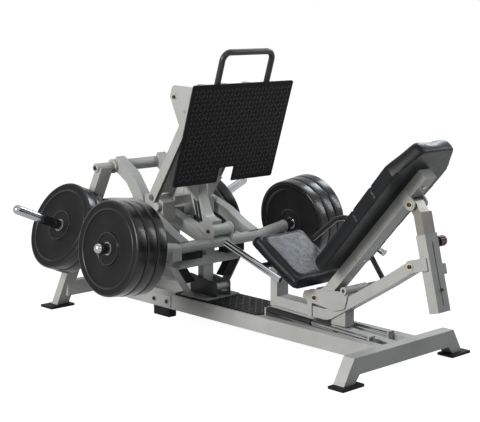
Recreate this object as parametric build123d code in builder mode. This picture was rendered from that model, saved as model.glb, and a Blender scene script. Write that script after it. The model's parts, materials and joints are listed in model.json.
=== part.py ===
from build123d import *
import os
from math import atan2, cos, hypot, radians, sin

# Plate-loaded horizontal leg press. Millimetres, Z up.
# X runs across the machine, the user faces +Y, and the floor is Z = 0.
# Sizes along the machine are first read as distances behind the front floor pads,
# and at() then puts the origin under the middle of the machine.

# General sizes
seam = 0.3
running_gap = 0.05
cut_over = 2.0
bolt_head_radius = 9.0
bolt_head_height = 8.0
washer_radius = 17.0
washer_thickness = 3.0
socket_radius = 4.5
socket_depth = 4.0

# Floor frame
rail_width = 50.0
rail_height = 75.0
rail_x = 112.0
rail_bottom = 47.0
rail_top = rail_bottom + rail_height
pad_thickness = 12.0
front_bar_front = 25.0
front_bar_depth = 60.0
front_bar_back = front_bar_front + front_bar_depth
front_bar_half = 340.0
front_leg_out = 405.0
front_leg_in = 335.0
front_leg_knee = 305.0
front_pad_x = 371.0
front_pad_width = 134.0
front_pad_depth = 85.0
rail_joint = 1510.0
rail_rear_end = 1995.0
rear_bar_depth = 50.0
rear_bar_bottom = 60.0
rear_bar_height = 75.0
joint_plate_length = 150.0
joint_plate_height = 62.0
joint_plate_thickness = 6.0
joint_bolt_share = 0.33
rubber_foot_start = 1454.0
rubber_foot_length = 121.0
rubber_foot_width = 48.0

# Rear uprights
upright_width = 75.0
upright_depth = 50.0
upright_foot_outer = 422.0
upright_foot_front = 2030.0
upright_top_outer = 280.0
upright_top_front = 1818.0
upright_top = 728.0
rear_pad_inner = 328.0
rear_pad_width = 147.0
rear_pad_front = 2005.0
rear_pad_depth = 99.0

# Top pipe with its centre sleeve
pipe_centre = (1850.0, 747.0)
pipe_radius = 23.0
pipe_proud = 7.0
pipe_half = upright_top_outer + pipe_proud
pipe_sleeve_radius = 30.5
collar_radius = 37.0
collar_width = 15.0

# Fixed arms below the pipe
fixed_arm_inner = 112.0
fixed_arm_width = 54.0
fixed_arm_depth = 70.0
fixed_arm_bend = 75.0
fixed_arm_top = (pipe_centre[0], 768.0)
fixed_arm_shoulder = (1728.0, 698.0)
fixed_arm_elbow = (1652.0, 600.0)
fixed_arm_foot = (1620.0, 475.0)
post_inner = 92.0
post_width = 81.0
post_front = 1450.0
post_back = 1592.0
post_bottom = 500.0
post_front_top = 597.0
post_slope_end = 1495.0
post_back_top = 629.0
cross_box_front = 1452.0
cross_box_depth = 60.0
cross_box_bottom = 580.0
cross_box_height = 42.0
tie_box_depth = 60.0
tie_box_bottom = 475.0
tie_box_height = 62.0
spine_half = 30.0
spine_depth = 62.0
spine_bend = 60.0
spine_rear = (post_back, 503.0)
spine_hump = (1475.0, 466.0)
spine_knee = (1322.0, 418.0)
spine_front = 1318.0
stub_radius = 21.0
stub_length = 26.0
stub_centre = (1474.0, 578.0)

# Stop under the loading beam, on the floor plate
floor_plate_front = 815.0
floor_plate_back = 1440.0
floor_plate_half = 121.0
floor_plate_thickness = 5.0
floor_plate_corner = 30.0
deck_top = rail_top + floor_plate_thickness
stop_base_front = 1192.0
stop_base_depth = 193.0
stop_base_thickness = 8.0
stop_base_top = deck_top + stop_base_thickness
stop_front = 1295.0
stop_depth = 56.0
stop_bottom = 284.0
stop_height = 50.0
stop_top = stop_bottom + stop_height
stop_top_half = 166.0
stop_bottom_half = 212.0
stop_post_half = 34.0
stop_post_depth = 40.0
bumper_inner = 85.0
bumper_width = 118.0
bumper_front = 1252.0
bumper_back = 1318.0
bumper_height = 56.0
cradle_thickness = 8.0
cradle_foot_x = 105.0
cradle_tip_x = 226.0
cradle_tip_z = 296.0
cradle_pad_bottom = 205.0
cradle_pad_inset = 4.0
cradle_pad_width = 62.0
cheek_inner = 42.0
cheek_thickness = 8.0
cheek_front_top = 205.0
cheek_back_top = 232.0
pivot_bush = (1213.0, 182.0)
pivot_bush_radius = 19.0
catch_width = 34.0
catch_depth = 26.0
catch_thickness = 5.0

# Storage horns on the uprights
storage_y = 1850.0
storage_base_x = 343.0
storage_base_z = 399.0
storage_tilt = 23.3
storage_length = 486.0
storage_radius = 24.0
storage_collar_radius = 40.0
storage_collar_length = 14.0
storage_stack_start = 76.0
storage_plate_start = 1815.0
storage_plate_depth = 130.0
storage_plate_bottom = 362.0
storage_plate_height = 78.0
storage_plate_inner = 325.0
storage_plate_width = 32.0

# Weight plates
plate_radius = 225.0
plate_thickness = 61.0
plate_bore_gap = 0.5
plate_rim_width = 26.0
plate_rim_step = 7.0
plate_ring_radius = 62.0
plate_web_step = 11.0
plate_round = 9.0
plate_gap = 0.4
rear_plate_count = 2
front_plate_count = 3

# Loading beam, hinged at its rear tube
beam_pivot = (1900.0, 530.0)
beam_tube_radius = 28.0
beam_tube_gap = 4.7
beam_pin_radius = 12.5
beam_pin_half = 331.0
beam_arm_inner = 210.0
beam_arm_width = 57.0
beam_arm_depth = 54.0
beam_arm_bend = 160.0
beam_arm_front = (1224.0, 418.0)
beam_arm_low = (1300.0, 449.0)
beam_arm_mid = (1420.0, 514.0)
beam_arm_high = (1625.0, 581.0)
beam_arm_tail = (1830.0, 560.0)
beam_lug_setback = 3.0
beam_lug_front = (1790.0, 563.0)
cross_tube_centre = (1229.0, 408.0)
cross_tube_radius = 28.5
end_box_inner = 267.0
end_box_width = 59.0
end_box_depth = 58.0
end_box_bottom = 353.0
end_box_top = 412.0
horn_y = 1229.0
horn_z = 405.5
horn_tilt = 8.0
horn_radius = 25.0
horn_start = end_box_inner
horn_length = 504.0
horn_root = 8.0
horn_sleeve_length = 205.0
cut_reach = 770.0
horn_collar_radius = 34.0
horn_collar_length = 12.0
front_stack_start = 253.0
hub = (1222.0, 469.0)
hub_radius = 29.0
hub_half = 59.0
hub_pin_radius = 10.0
ear_thickness = 10.0
ear_radius = 36.0
hub_flange_width = 6.0
hub_flange_radius = 32.0

# Foot plate and its carrier
foot_half = 330.0
foot_bottom = (1187.0, 716.0)
foot_top = (1031.0, 1206.0)
foot_thickness = 8.0
foot_corner = 10.0
notch_half = 50.0
notch_depth = 78.0
notch_corner = 10.0
handle_radius = 15.0
handle_half = 163.0
handle_drop = 70.0
handle_rise = 150.0
handle_bend = 42.0
bracket_x = 233.0
inner_bracket_x = 76.0
bracket_thickness = 8.0
bracket_corner = 26.0
bracket_top_rear = (1300.0, 1196.0)
bracket_rear = (1318.0, 1140.0)
bracket_waist = (1246.0, 990.0)
bracket_low = (1200.0, 950.0)
bracket_bolt = (1283.0, 1139.0)
bracket_front_top = 1186.0
bracket_front_low = 960.0
strut_half = 30.0
strut_depth = 60.0
strut_bend = 110.0
strut_foot = (1240.0, 484.0)
strut_low = (1320.0, 500.0)
strut_mid = (1378.0, 655.0)
strut_high = (1385.0, 790.0)
strut_end = (1190.0, 975.0)
carrier_tube_radius = 25.0
carrier_tube = (1178.0, 975.0)
gusset_half = 132.0
gusset_top = 712.0
gusset_bottom = 600.0
gusset_front = 1338.0
gusset_depth = 20.0
slot_plate_length = 130.0
slot_plate_width = 34.0
slot_plate_thickness = 5.0
slot_length = 96.0
slot_width = 9.0
slot_plate_middle = (1345.0, 565.0)
slot_plate_lean = 14.0

# Links between the posts and the foot plate carrier
link_low = (1503.0, 622.0)
link_high = (1211.0, 1071.0)
link_width = 52.0
link_web = 8.0
link_inner = 84.0
link_outer = 181.0
link_strap_x = 195.0
link_strap_thickness = 6.0
link_pin_radius = 9.0
link_pin_clearance = 9.0
link_eye_radius = 27.0
link_web_rise = 46.0
link_spacer_shares = (0.3, 0.7)
link_head_radius = 15.0
link_head_height = 6.0

# Seat rails
seat_rail_x = 70.0
seat_rail_radius = 10.0
seat_rail_rear = (811.0, 149.0)
seat_rail_front = (163.0, 121.0)
rail_plate_thickness = 8.0
rail_plate_over = 18.0
rail_plate_hole = 14.0
rail_plate_hole_x = 34.0
rail_plate_hole_z = 76.0
rail_plate_notch = 46.0
index_bar_half = 20.0
index_bar_thickness = 6.0
index_bar_drop = 1.5
index_bar_end = 444.0
index_strap_depth = 20.0
index_hole_pitch = 50.0
index_hole_count = 7
housing_radius = 16.0
housing_front = 521.0
housing_rear = 794.0

# Seat carriage
tube_half = 38.0
beam_depth = 50.0
pivot_bolt_radius = 9.0
carriage_rear = (821.0, 187.0)
carriage_mid = (600.0, 181.0)
carriage_low = (455.0, 177.0)
carriage_rise = (330.0, 254.0)
carriage_arm_end = (134.0, 373.0)
carriage_bend = 90.0
carriage_base_half = 60.0
carriage_base_lift = 1.0
carriage_base_rise = 3.0
seat_post_front = 776.0
seat_post_back = 821.0
adjuster_bolt = (-25.0, 477.0)
cheek_plate_thickness = 8.0
seat_hinge = (526.0, 248.0)
hinge_plate_points = (
    (604.0, 240.0),
    (594.0, 270.0),
    (545.0, 286.0),
    (366.0, 302.0),
    (326.0, 296.0),
    (345.0, 225.0),
    (405.0, 206.0),
    (565.0, 224.0),
)
web_front = 545.0
web_back = 572.0
foot_bracket_half = 30.0
foot_bracket_front = 352.0
foot_bracket_back = 436.0
foot_bracket_bottom = 138.0
latch_y = 395.0
latch_pin_radius = 6.0
latch_pin_length = 60.0
latch_bore_height = 78.0
seat_knee = (811.0, 521.0)
seat_hip = (519.0, 338.0)
seat_half = 165.0
seat_thickness = 50.0
seat_crown = 32.0
seat_corner = 30.0
seat_board_half = 120.0
seat_board_thickness = 5.0
seat_board_inset = 40.0
grip_x = 200.0
grip_radius = 16.0
grip_tip = (595.0, 343.0)
grip_far = (956.0, 464.0)
grip_bar_share = 0.386
grip_bar_drop = 5.0
grip_bar_radius = 14.0
grip_bar_far = 120.0
grip_bar_centre = (
    grip_tip[0] + (grip_far[0] - grip_tip[0]) * grip_bar_share,
    grip_tip[1] + (grip_far[1] - grip_tip[1]) * grip_bar_share - grip_bar_drop,
)
seat_web_half = 4.0
seat_web_front = 712.0
seat_web_bottom = 340.0
seat_web_depth = 24.0
lever_axis = (345.0, 310.0)
lever_tube_near = -55.0
lever_tube_far = 95.0
lever_tube_radius = 18.0
lever_shaft_radius = 9.0
lever_x = 232.0
lever_rod_radius = 12.5
lever_bend = 70.0
lever_back = (560.0, 590.0)
lever_front = (650.0, 566.0)
lever_tip = (798.0, 451.0)
lever_grip_tip = (372.0, 437.0)
lever_grip_end = (560.0, 522.0)
lever_grip_radius = 17.0

# Backrest
back_start = (494.0, 283.0)
back_lean = 48.2
back_tube_depth = 50.0
back_tube_length = 805.0
back_tube_low = -22.0
back_pad_start = 155.0
back_pad_taper = 790.0
back_pad_end = 935.0
back_pad_low_half = 170.0
back_pad_high_half = 188.0
back_pad_top_half = 108.0
back_pad_thickness = 72.0
back_seam_radius = 16.0
back_seam_depth = 6.0
back_lug_top = 60.0
back_lug_depth = 40.0
back_pad_crown = 34.0
back_pad_corner = 24.0
back_seam_low = 505.0
back_seam_high = 655.0
back_cap_length = 12.0
back_bolt_low = 262.0
back_bolt_high = 745.0
back_bolt_share = 0.7
back_bolt_head = 7.0
upper_bolt = (-13.0, 742.0)
upper_ear_radius = 26.0
upper_ear_thickness = 8.0
upper_ear_reach = 60.0

# Telescopic adjuster behind the backrest
sleeve_top = (-69.0, 618.0)
sleeve_bottom = (-152.0, 293.0)
sleeve_depth = 50.0
sleeve_half = 41.0
sleeve_wall = 4.0
sleeve_slot_width = 7.0
sleeve_slot_top = 36.0
sleeve_slot_bottom = 26.0
fork_thickness = 8.0
fork_radius = 27.0
fork_reach = 90.0
inner_low_share = 0.8
inner_lug_half = 30.0
inner_lug_radius = 21.0
inner_lug_clearance = 7.0
lug_relief = 2.0
inner_top_gap = 40.0
upper_pin_radius = 8.0
ball_radius = 7.0
ball_share = 0.72
knob_centre = (-79.0, 579.0)
knob_base_radius = 16.0
knob_base_length = 26.0
knob_radius = 21.0
knob_length = 38.0
knob_ribs = 12
knob_rib_radius = 3.0
knob_cap_height = 3.0
pull_pin_radius = 5.0
pull_pin_gap = 0.5
tab_share = 0.4
tab_length = 46.0
tab_width = 22.0
tab_thickness = 6.0

# Pads and small shapes
cushion_shares = ((0.14, 0.0), (0.02, 0.2), (0.0, 0.5), (0.06, 0.72), (0.22, 0.88), (0.55, 0.97), (1.0, 1.0))
quarter_turn = 90.0
sides = ((-1, "near"), (1, "far"))

# The machine's ends set the middle of its length
rear_end = rear_pad_front + rear_pad_depth
sleeve_lean = atan2(sleeve_top[0] - sleeve_bottom[0], sleeve_top[1] - sleeve_bottom[1])
front_end = sleeve_bottom[0] - sleeve_depth / 2 * cos(sleeve_lean)
middle = (rear_end + front_end) / 2


def at(point):
    """Shift a point of the side view so that the origin lies under the middle."""
    return (point[0] - middle, point[1])


def side(x):
    """The plane across the machine at x: its own x runs to the rear and its y up."""
    return Plane(origin=(x, 0, 0), x_dir=(0, 1, 0), z_dir=(1, 0, 0))


def across(y):
    """The upright plane at y: its own x runs across and its normal points to the front."""
    return Plane(origin=(0, y - middle, 0), x_dir=(1, 0, 0), z_dir=(0, -1, 0))


def between(start, end, share):
    """The point a share of the way from start to end."""
    return (start[0] + (end[0] - start[0]) * share, start[1] + (end[1] - start[1]) * share)


def unit(start, end):
    """The direction from start to end, one long."""
    length = hypot(end[0] - start[0], end[1] - start[1])
    return ((end[0] - start[0]) / length, (end[1] - start[1]) / length)


def moved(point, along, distance, off=(0, 0), lift=0):
    """A point moved by distance along one direction and by lift along another."""
    return (point[0] + along[0] * distance + off[0] * lift, point[1] + along[1] * distance + off[1] * lift)


def bent_bar(points, depth, bend):
    """Draw a bent bar of the given depth along its centre line."""
    with BuildLine() as path:
        if len(points) > 2:
            FilletPolyline(*[at(point) for point in points], radius=bend)
        else:
            Line(*[at(point) for point in points])
    trace(path.line, line_width=depth)


def outward(sign, start, width):
    """The low X of a stretch that starts at a distance from the middle, on the side of the sign."""
    return min(sign * start, sign * (start + width))


def bar(x, width, points, depth, bend=0.0, mode=Mode.ADD):
    """Extrude a bent bar from x across its width."""
    with BuildSketch(side(x)) as section:
        bent_bar(points, depth, bend)
    extrude(section.sketch, amount=width, mode=mode)


def sheet(x, width, points, corner=0.0):
    """Extrude a flat outline from x across its width."""
    with BuildSketch(side(x)) as section:
        Polygon(*[at(point) for point in points], align=None)
        if corner > 0:
            fillet(section.vertices(), corner)
    extrude(section.sketch, amount=width)


def block(x, width, front, depth, bottom, height, mode=Mode.ADD):
    """An upright box given by its low corner and its sizes."""
    with BuildSketch(Plane.XY.offset(bottom)) as section:
        with Locations((x + width / 2, front - middle + depth / 2)):
            Rectangle(width, depth)
    extrude(section.sketch, amount=height, mode=mode)


def rod(x, length, point, radius, mode=Mode.ADD):
    """A round bar across the machine from x."""
    with BuildSketch(side(x)) as section:
        with Locations(at(point)):
            Circle(radius)
    extrude(section.sketch, amount=length, mode=mode)


def bolt_head(x, point, sign):
    """A button head with its washer and a round socket, facing along X to the side of the sign."""
    rod(min(x, x + sign * washer_thickness), washer_thickness, point, washer_radius)
    head_start = x + sign * washer_thickness
    rod(min(head_start, head_start + sign * bolt_head_height), bolt_head_height, point, bolt_head_radius)
    face = head_start + sign * bolt_head_height
    rod(min(face, face - sign * socket_depth), socket_depth, point, socket_radius, Mode.SUBTRACT)


def straight_rod(x, start, end, radius, mode=Mode.ADD):
    """A round bar in a side plane from start to end."""
    direction = unit(start, end)
    start_point = at(start)
    foot = Plane(origin=(x, start_point[0], start_point[1]), z_dir=(0, direction[0], direction[1]))
    with BuildSketch(foot) as section:
        Circle(radius)
    extrude(section.sketch, amount=hypot(end[0] - start[0], end[1] - start[1]), mode=mode)


def upright_at(height):
    """Outer face and front face of an upright at a height."""
    share = (height - pad_thickness) / (upright_top - pad_thickness)
    outer = upright_foot_outer + (upright_top_outer - upright_foot_outer) * share
    front = upright_foot_front + (upright_top_front - upright_foot_front) * share
    return outer, front


beam_tube_half = upright_at(beam_pivot[1] + beam_tube_radius)[0] - upright_width - beam_tube_gap
beam_lug_width = beam_tube_half - beam_lug_setback - beam_arm_inner


def finish(piece, name):
    """Label a piece and write it."""
    piece.part.label = name
    export_step(piece.part, "parts/" + name + ".step")


os.makedirs("parts", exist_ok=True)

# Floor frame

with BuildPart() as front_crossbar:
    with BuildSketch(across(front_bar_back)):
        Polygon(
            (-front_bar_half, rail_top),
            (front_bar_half, rail_top),
            (front_leg_out, pad_thickness),
            (front_leg_in, pad_thickness),
            (front_leg_knee, rail_bottom),
            (-front_leg_knee, rail_bottom),
            (-front_leg_in, pad_thickness),
            (-front_leg_out, pad_thickness),
            align=None,
        )
    extrude(amount=front_bar_depth)
finish(front_crossbar, "front_crossbar")

with BuildPart() as floor_pads:
    for sign in (-1, 1):
        block(sign * front_pad_x - front_pad_width / 2, front_pad_width, 0, front_pad_depth, 0, pad_thickness)
        block(
            outward(sign, rear_pad_inner, rear_pad_width), rear_pad_width,
            rear_pad_front, rear_pad_depth, 0, pad_thickness,
        )
finish(floor_pads, "floor_pads")

with BuildPart() as base_rails:
    for sign in (-1, 1):
        for start, end in ((front_bar_back, rail_joint), (rail_joint, rail_rear_end)):
            block(sign * rail_x - rail_width / 2, rail_width, start, end - start, rail_bottom, rail_height)
finish(base_rails, "base_rails")

joint_plate_bottom = rail_bottom + (rail_height - joint_plate_height) / 2
joint_plate_x = rail_x + rail_width / 2
with BuildPart() as joint_plates:
    for sign in (-1, 1):
        block(
            outward(sign, joint_plate_x, joint_plate_thickness), joint_plate_thickness,
            rail_joint - joint_plate_length / 2, joint_plate_length, joint_plate_bottom, joint_plate_height,
        )
finish(joint_plates, "joint_plates")

with BuildPart() as frame_bolts:
    for sign in (-1, 1):
        for step in (-1, 1):
            bolt_y = rail_joint + step * joint_plate_length * joint_bolt_share
            bolt_head(
                sign * (joint_plate_x + joint_plate_thickness), (bolt_y, rail_bottom + rail_height / 2), sign
            )
        bolt_head(sign * pipe_half, pipe_centre, sign)
finish(frame_bolts, "frame_bolts")

with BuildPart() as rubber_feet:
    for sign in (-1, 1):
        block(
            sign * rail_x - rubber_foot_width / 2, rubber_foot_width,
            rubber_foot_start, rubber_foot_length, 0, rail_bottom,
        )
finish(rubber_feet, "rubber_feet")

with BuildPart() as rear_uprights:
    for sign in (-1, 1):
        for height in (pad_thickness, pipe_centre[1]):
            outer, front = upright_at(height)
            with BuildSketch(Plane.XY.offset(height)):
                with Locations((sign * (outer - upright_width / 2), front - middle + upright_depth / 2)):
                    Rectangle(upright_width, upright_depth)
        loft()
        block(
            outward(sign, storage_plate_inner, storage_plate_width), storage_plate_width,
            storage_plate_start, storage_plate_depth, storage_plate_bottom, storage_plate_height,
        )
    rear_bar_half = upright_at(rear_bar_bottom)[0] - upright_width / 2
    block(-rear_bar_half, 2 * rear_bar_half, rail_rear_end, rear_bar_depth, rear_bar_bottom, rear_bar_height)
    rod(-pipe_half, 2 * pipe_half, pipe_centre, pipe_radius + seam, Mode.SUBTRACT)
    rod(-beam_pin_half, 2 * beam_pin_half, beam_pivot, beam_pin_radius + running_gap, Mode.SUBTRACT)
finish(rear_uprights, "rear_uprights")

# Top pipe, fixed arms, posts and spine

with BuildPart() as top_pipe:
    rod(-pipe_half, 2 * pipe_half, pipe_centre, pipe_radius)
finish(top_pipe, "top_pipe")

with BuildPart() as pipe_sleeves:
    rod(-fixed_arm_inner, 2 * fixed_arm_inner, pipe_centre, pipe_sleeve_radius)
    for sign in (-1, 1):
        collar_start = outward(sign, fixed_arm_inner + fixed_arm_width, collar_width)
        rod(collar_start, collar_width, pipe_centre, collar_radius)
    rod(-pipe_half, 2 * pipe_half, pipe_centre, pipe_radius + seam, Mode.SUBTRACT)
finish(pipe_sleeves, "pipe_sleeves")

for sign, name in sides:
    with BuildPart() as fixed_arm:
        bar(
            outward(sign, fixed_arm_inner, fixed_arm_width), fixed_arm_width,
            (fixed_arm_top, fixed_arm_shoulder, fixed_arm_elbow, fixed_arm_foot),
            fixed_arm_depth, fixed_arm_bend,
        )
        rod(-pipe_half, 2 * pipe_half, pipe_centre, pipe_radius + seam, Mode.SUBTRACT)
        with BuildSketch(side(-pipe_half)):
            Polygon(
                at((post_front, post_bottom - post_width)),
                at((post_back, post_bottom - post_width)),
                at((post_back, post_back_top)),
                at((post_front, post_back_top)),
                align=None,
            )
        extrude(amount=2 * pipe_half, mode=Mode.SUBTRACT)
    finish(fixed_arm, name + "_fixed_arm")

post_outer = post_inner + post_width
with BuildPart() as pivot_posts:
    for sign in (-1, 1):
        sheet(
            outward(sign, post_inner, post_width), post_width,
            (
                (post_front, post_bottom),
                (post_back, post_bottom),
                (post_back, post_back_top),
                (post_slope_end, post_back_top),
                (post_front, post_front_top),
            ),
        )
        rod(outward(sign, post_outer, stub_length), stub_length, stub_centre, stub_radius)
    rod(-post_outer, 2 * post_outer, link_low, link_pin_radius + running_gap, Mode.SUBTRACT)
    block(-post_inner, 2 * post_inner, cross_box_front, cross_box_depth, cross_box_bottom, cross_box_height)
    for sign in (-1, 1):
        relief = post_inner - link_inner + link_head_height + 2 * seam
        relief_start = outward(sign, post_inner, -relief)
        rod(relief_start, relief, link_low, link_width / 2 + seam, Mode.SUBTRACT)
        bar(relief_start, relief, (link_low, link_high), link_width + 2 * seam, 0, Mode.SUBTRACT)
    block(-fixed_arm_inner, 2 * fixed_arm_inner, post_back, tie_box_depth, tie_box_bottom, tie_box_height)
finish(pivot_posts, "pivot_posts")

with BuildPart() as centre_spine:
    bar(
        -spine_half, 2 * spine_half, (spine_rear, spine_hump, spine_knee, (spine_front, stop_top)),
        spine_depth, spine_bend,
    )
    add(pivot_posts.part, mode=Mode.SUBTRACT)
    block(
        -spine_half, 2 * spine_half, stop_front, 2 * stop_depth, stop_bottom, stop_height, Mode.SUBTRACT
    )
finish(centre_spine, "centre_spine")

# Stop under the loading beam

with BuildPart() as stop_frame:
    with BuildSketch(across(stop_front + stop_depth)):
        Polygon(
            (-stop_top_half, stop_top),
            (stop_top_half, stop_top),
            (stop_bottom_half, stop_bottom),
            (-stop_bottom_half, stop_bottom),
            align=None,
        )
    extrude(amount=stop_depth)
    block(
        -stop_post_half, 2 * stop_post_half, stop_front + (stop_depth - stop_post_depth) / 2,
        stop_post_depth, stop_base_top, stop_bottom - stop_base_top,
    )
    block(-rail_x, 2 * rail_x, stop_base_front, stop_base_depth, deck_top, stop_base_top - deck_top)
    for sign in (-1, 1):
        with BuildSketch(across(stop_front + stop_depth)):
            Polygon(
                (sign * cradle_foot_x, stop_base_top),
                (sign * (cradle_foot_x + cradle_thickness), stop_base_top),
                (sign * cradle_tip_x, cradle_tip_z),
                (sign * (cradle_tip_x - cradle_thickness), cradle_tip_z),
                align=None,
            )
        extrude(amount=stop_depth)
finish(stop_frame, "stop_frame")

# The rubber blocks fill the wedges between the cradle and the stop beam, and carry the loading beam
cradle_slope = (cradle_tip_x - cradle_thickness - cradle_foot_x) / (cradle_tip_z - stop_base_top)
with BuildPart() as stop_bumpers:
    for sign in (-1, 1):
        low_x = cradle_foot_x + cradle_slope * (cradle_pad_bottom - stop_base_top) - seam
        high_x = cradle_foot_x + cradle_slope * (stop_bottom - stop_base_top) - seam
        with BuildSketch(across(stop_front + stop_depth - cradle_pad_inset)):
            Polygon(
                (sign * low_x, cradle_pad_bottom),
                (sign * high_x, stop_bottom),
                (sign * (high_x - cradle_pad_width), stop_bottom),
                (sign * (low_x - cradle_pad_width), cradle_pad_bottom + cradle_pad_inset),
                align=None,
            )
        extrude(amount=stop_depth - 2 * cradle_pad_inset)
        block(
            outward(sign, bumper_inner, bumper_width), bumper_width,
            bumper_front, bumper_back - bumper_front, stop_top, bumper_height,
        )
    rod(-cut_reach, 2 * cut_reach, cross_tube_centre, cross_tube_radius + seam, Mode.SUBTRACT)
    add(stop_frame.part, mode=Mode.SUBTRACT)
finish(stop_bumpers, "stop_bumpers")

with BuildPart() as pivot_cheeks:
    for sign in (-1, 1):
        sheet(
            outward(sign, cheek_inner, cheek_thickness), cheek_thickness,
            (
                (stop_base_front, stop_base_top),
                (stop_base_front + stop_base_depth, stop_base_top),
                (stop_base_front + stop_base_depth, cheek_back_top),
                (stop_base_front, cheek_front_top),
            ),
        )
    rod(-cheek_inner, 2 * cheek_inner, pivot_bush, pivot_bush_radius)
    block(
        -catch_width / 2, catch_width, pivot_bush[0] - catch_depth - pivot_bush_radius / 2,
        catch_depth, pivot_bush[1] - pivot_bush_radius, catch_thickness,
    )
    rod(-cheek_inner, 2 * cheek_inner, pivot_bush, hub_pin_radius, Mode.SUBTRACT)
finish(pivot_cheeks, "pivot_cheeks")

with BuildPart() as floor_plate:
    with BuildSketch(Plane.XY.offset(rail_top)) as floor_outline:
        with Locations((0, (floor_plate_front + floor_plate_back) / 2 - middle)):
            Rectangle(2 * floor_plate_half, floor_plate_back - floor_plate_front)
        fillet(floor_outline.vertices(), floor_plate_corner)
    extrude(amount=floor_plate_thickness)
finish(floor_plate, "floor_plate")

# Storage horns and weight plates


def horn(axis, length, radius, collar_start, collar_length, collar):
    """A bar with a rounded tip and a collar, standing along an axis."""
    section = Plane(origin=axis.origin, x_dir=axis.x_dir, z_dir=axis.x_dir.cross(axis.z_dir))
    with BuildSketch(section) as profile:
        with BuildLine():
            turning = Polyline((0, length), (0, 0), (radius, 0), (radius, length - radius))
            RadiusArc(turning @ 1, turning @ 0, -radius)
        make_face()
    revolve(profile.sketch, axis=Axis(axis.origin, axis.z_dir))
    with BuildSketch(axis.offset(collar_start)) as ring:
        Circle(collar)
    extrude(ring.sketch, amount=collar_length)


def weight_plate(axis, distance):
    """A rubber disc with a raised rim and hub, standing square on an axis."""
    half = plate_thickness / 2 - plate_gap / 2
    rim_in = plate_radius - plate_rim_width
    start = axis.offset(distance + plate_thickness / 2)
    section = Plane(origin=start.origin, x_dir=start.x_dir, z_dir=start.x_dir.cross(start.z_dir))
    with BuildSketch(section) as profile:
        with BuildLine():
            Polyline(
                (plate_bore, -half),
                (plate_ring_radius, -half),
                (plate_ring_radius + plate_web_step, plate_web_step - half),
                (rim_in - plate_web_step, plate_web_step - half),
                (rim_in, plate_rim_step - half),
                (rim_in + plate_rim_step, -half),
                (plate_radius - plate_round, -half),
                (plate_radius, plate_round - half),
                (plate_radius, half - plate_round),
                (plate_radius - plate_round, half),
                (rim_in + plate_rim_step, half),
                (rim_in, half - plate_rim_step),
                (rim_in - plate_web_step, half - plate_web_step),
                (plate_ring_radius + plate_web_step, half - plate_web_step),
                (plate_ring_radius, half),
                (plate_bore, half),
                close=True,
            )
        make_face()
    revolve(profile.sketch, axis=Axis(start.origin, start.z_dir))


storage_axes = {}
for sign, name in sides:
    storage_axes[name] = Plane(
        origin=(sign * storage_base_x, storage_y - middle, storage_base_z), x_dir=(0, 1, 0),
        z_dir=(sign * cos(radians(storage_tilt)), 0, sin(radians(storage_tilt))),
    )

with BuildPart() as storage_horns:
    for sign, name in sides:
        horn(
            storage_axes[name], storage_length, storage_radius,
            storage_stack_start - storage_collar_length, storage_collar_length, storage_collar_radius,
        )
    add(rear_uprights.part, mode=Mode.SUBTRACT)
finish(storage_horns, "storage_horns")

plate_bore = storage_radius + plate_bore_gap
for sign, name in sides:
    with BuildPart() as rear_plates:
        for count in range(rear_plate_count):
            weight_plate(storage_axes[name], storage_stack_start + plate_gap + count * plate_thickness)
    finish(rear_plates, name + "_rear_plates")

# Loading beam

with BuildPart() as beam_pivot_tube:
    rod(-beam_tube_half, 2 * beam_tube_half, beam_pivot, beam_tube_radius)
    rod(-beam_tube_half, 2 * beam_tube_half, beam_pivot, beam_pin_radius + running_gap, Mode.SUBTRACT)
finish(beam_pivot_tube, "beam_pivot_tube")

with BuildPart() as cross_tube:
    rod(-end_box_inner, 2 * end_box_inner, cross_tube_centre, cross_tube_radius)
finish(cross_tube, "cross_tube")

for sign, name in sides:
    with BuildPart() as beam_arm:
        bar(
            outward(sign, beam_arm_inner, beam_arm_width), beam_arm_width,
            (beam_arm_front, beam_arm_low, beam_arm_mid, beam_arm_high, beam_arm_tail),
            beam_arm_depth, beam_arm_bend,
        )
        bar(
            outward(sign, beam_arm_inner, beam_lug_width), beam_lug_width,
            (beam_lug_front, beam_pivot), beam_arm_depth,
        )
        rod(-cut_reach, 2 * cut_reach, beam_pivot, beam_tube_radius + seam, Mode.SUBTRACT)
        rod(-cut_reach, 2 * cut_reach, cross_tube_centre, cross_tube_radius, Mode.SUBTRACT)
    finish(beam_arm, name + "_beam_arm")

load_axes = {}
for sign, name in sides:
    load_axes[name] = Plane(
        origin=(sign * horn_start, horn_y - middle, horn_z), x_dir=(0, 1, 0),
        z_dir=(sign * cos(radians(horn_tilt)), 0, sin(radians(horn_tilt))),
    )

with BuildPart() as hub_ears:
    for sign, name in sides:
        ear_start = outward(sign, hub_half + seam, ear_thickness)
        rod(ear_start, ear_thickness, hub, ear_radius)
        sheet(
            ear_start, ear_thickness,
            (
                (hub[0] - ear_radius, hub[1]),
                (hub[0] + ear_radius, hub[1]),
                (cross_tube_centre[0] + cross_tube_radius, cross_tube_centre[1]),
                (cross_tube_centre[0] - cross_tube_radius, cross_tube_centre[1]),
            ),
        )
        block(
            outward(sign, end_box_inner, end_box_width), end_box_width,
            cross_tube_centre[0] - end_box_depth / 2, end_box_depth,
            end_box_bottom, end_box_top - end_box_bottom,
        )
        with BuildSketch(load_axes[name].offset(-horn_root)):
            Circle(cross_tube_radius)
        extrude(amount=horn_sleeve_length + horn_root)
    rod(-end_box_inner, 2 * end_box_inner, cross_tube_centre, cross_tube_radius, Mode.SUBTRACT)
    rod(-cut_reach, 2 * cut_reach, hub, hub_pin_radius + running_gap, Mode.SUBTRACT)
finish(hub_ears, "hub_ears")

with BuildPart() as hub_pin:
    pin_end = hub_half + seam + ear_thickness
    rod(-pin_end, 2 * pin_end, hub, hub_pin_radius)
    for sign in (-1, 1):
        bolt_head(sign * pin_end, hub, sign)
finish(hub_pin, "hub_pin")

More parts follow.
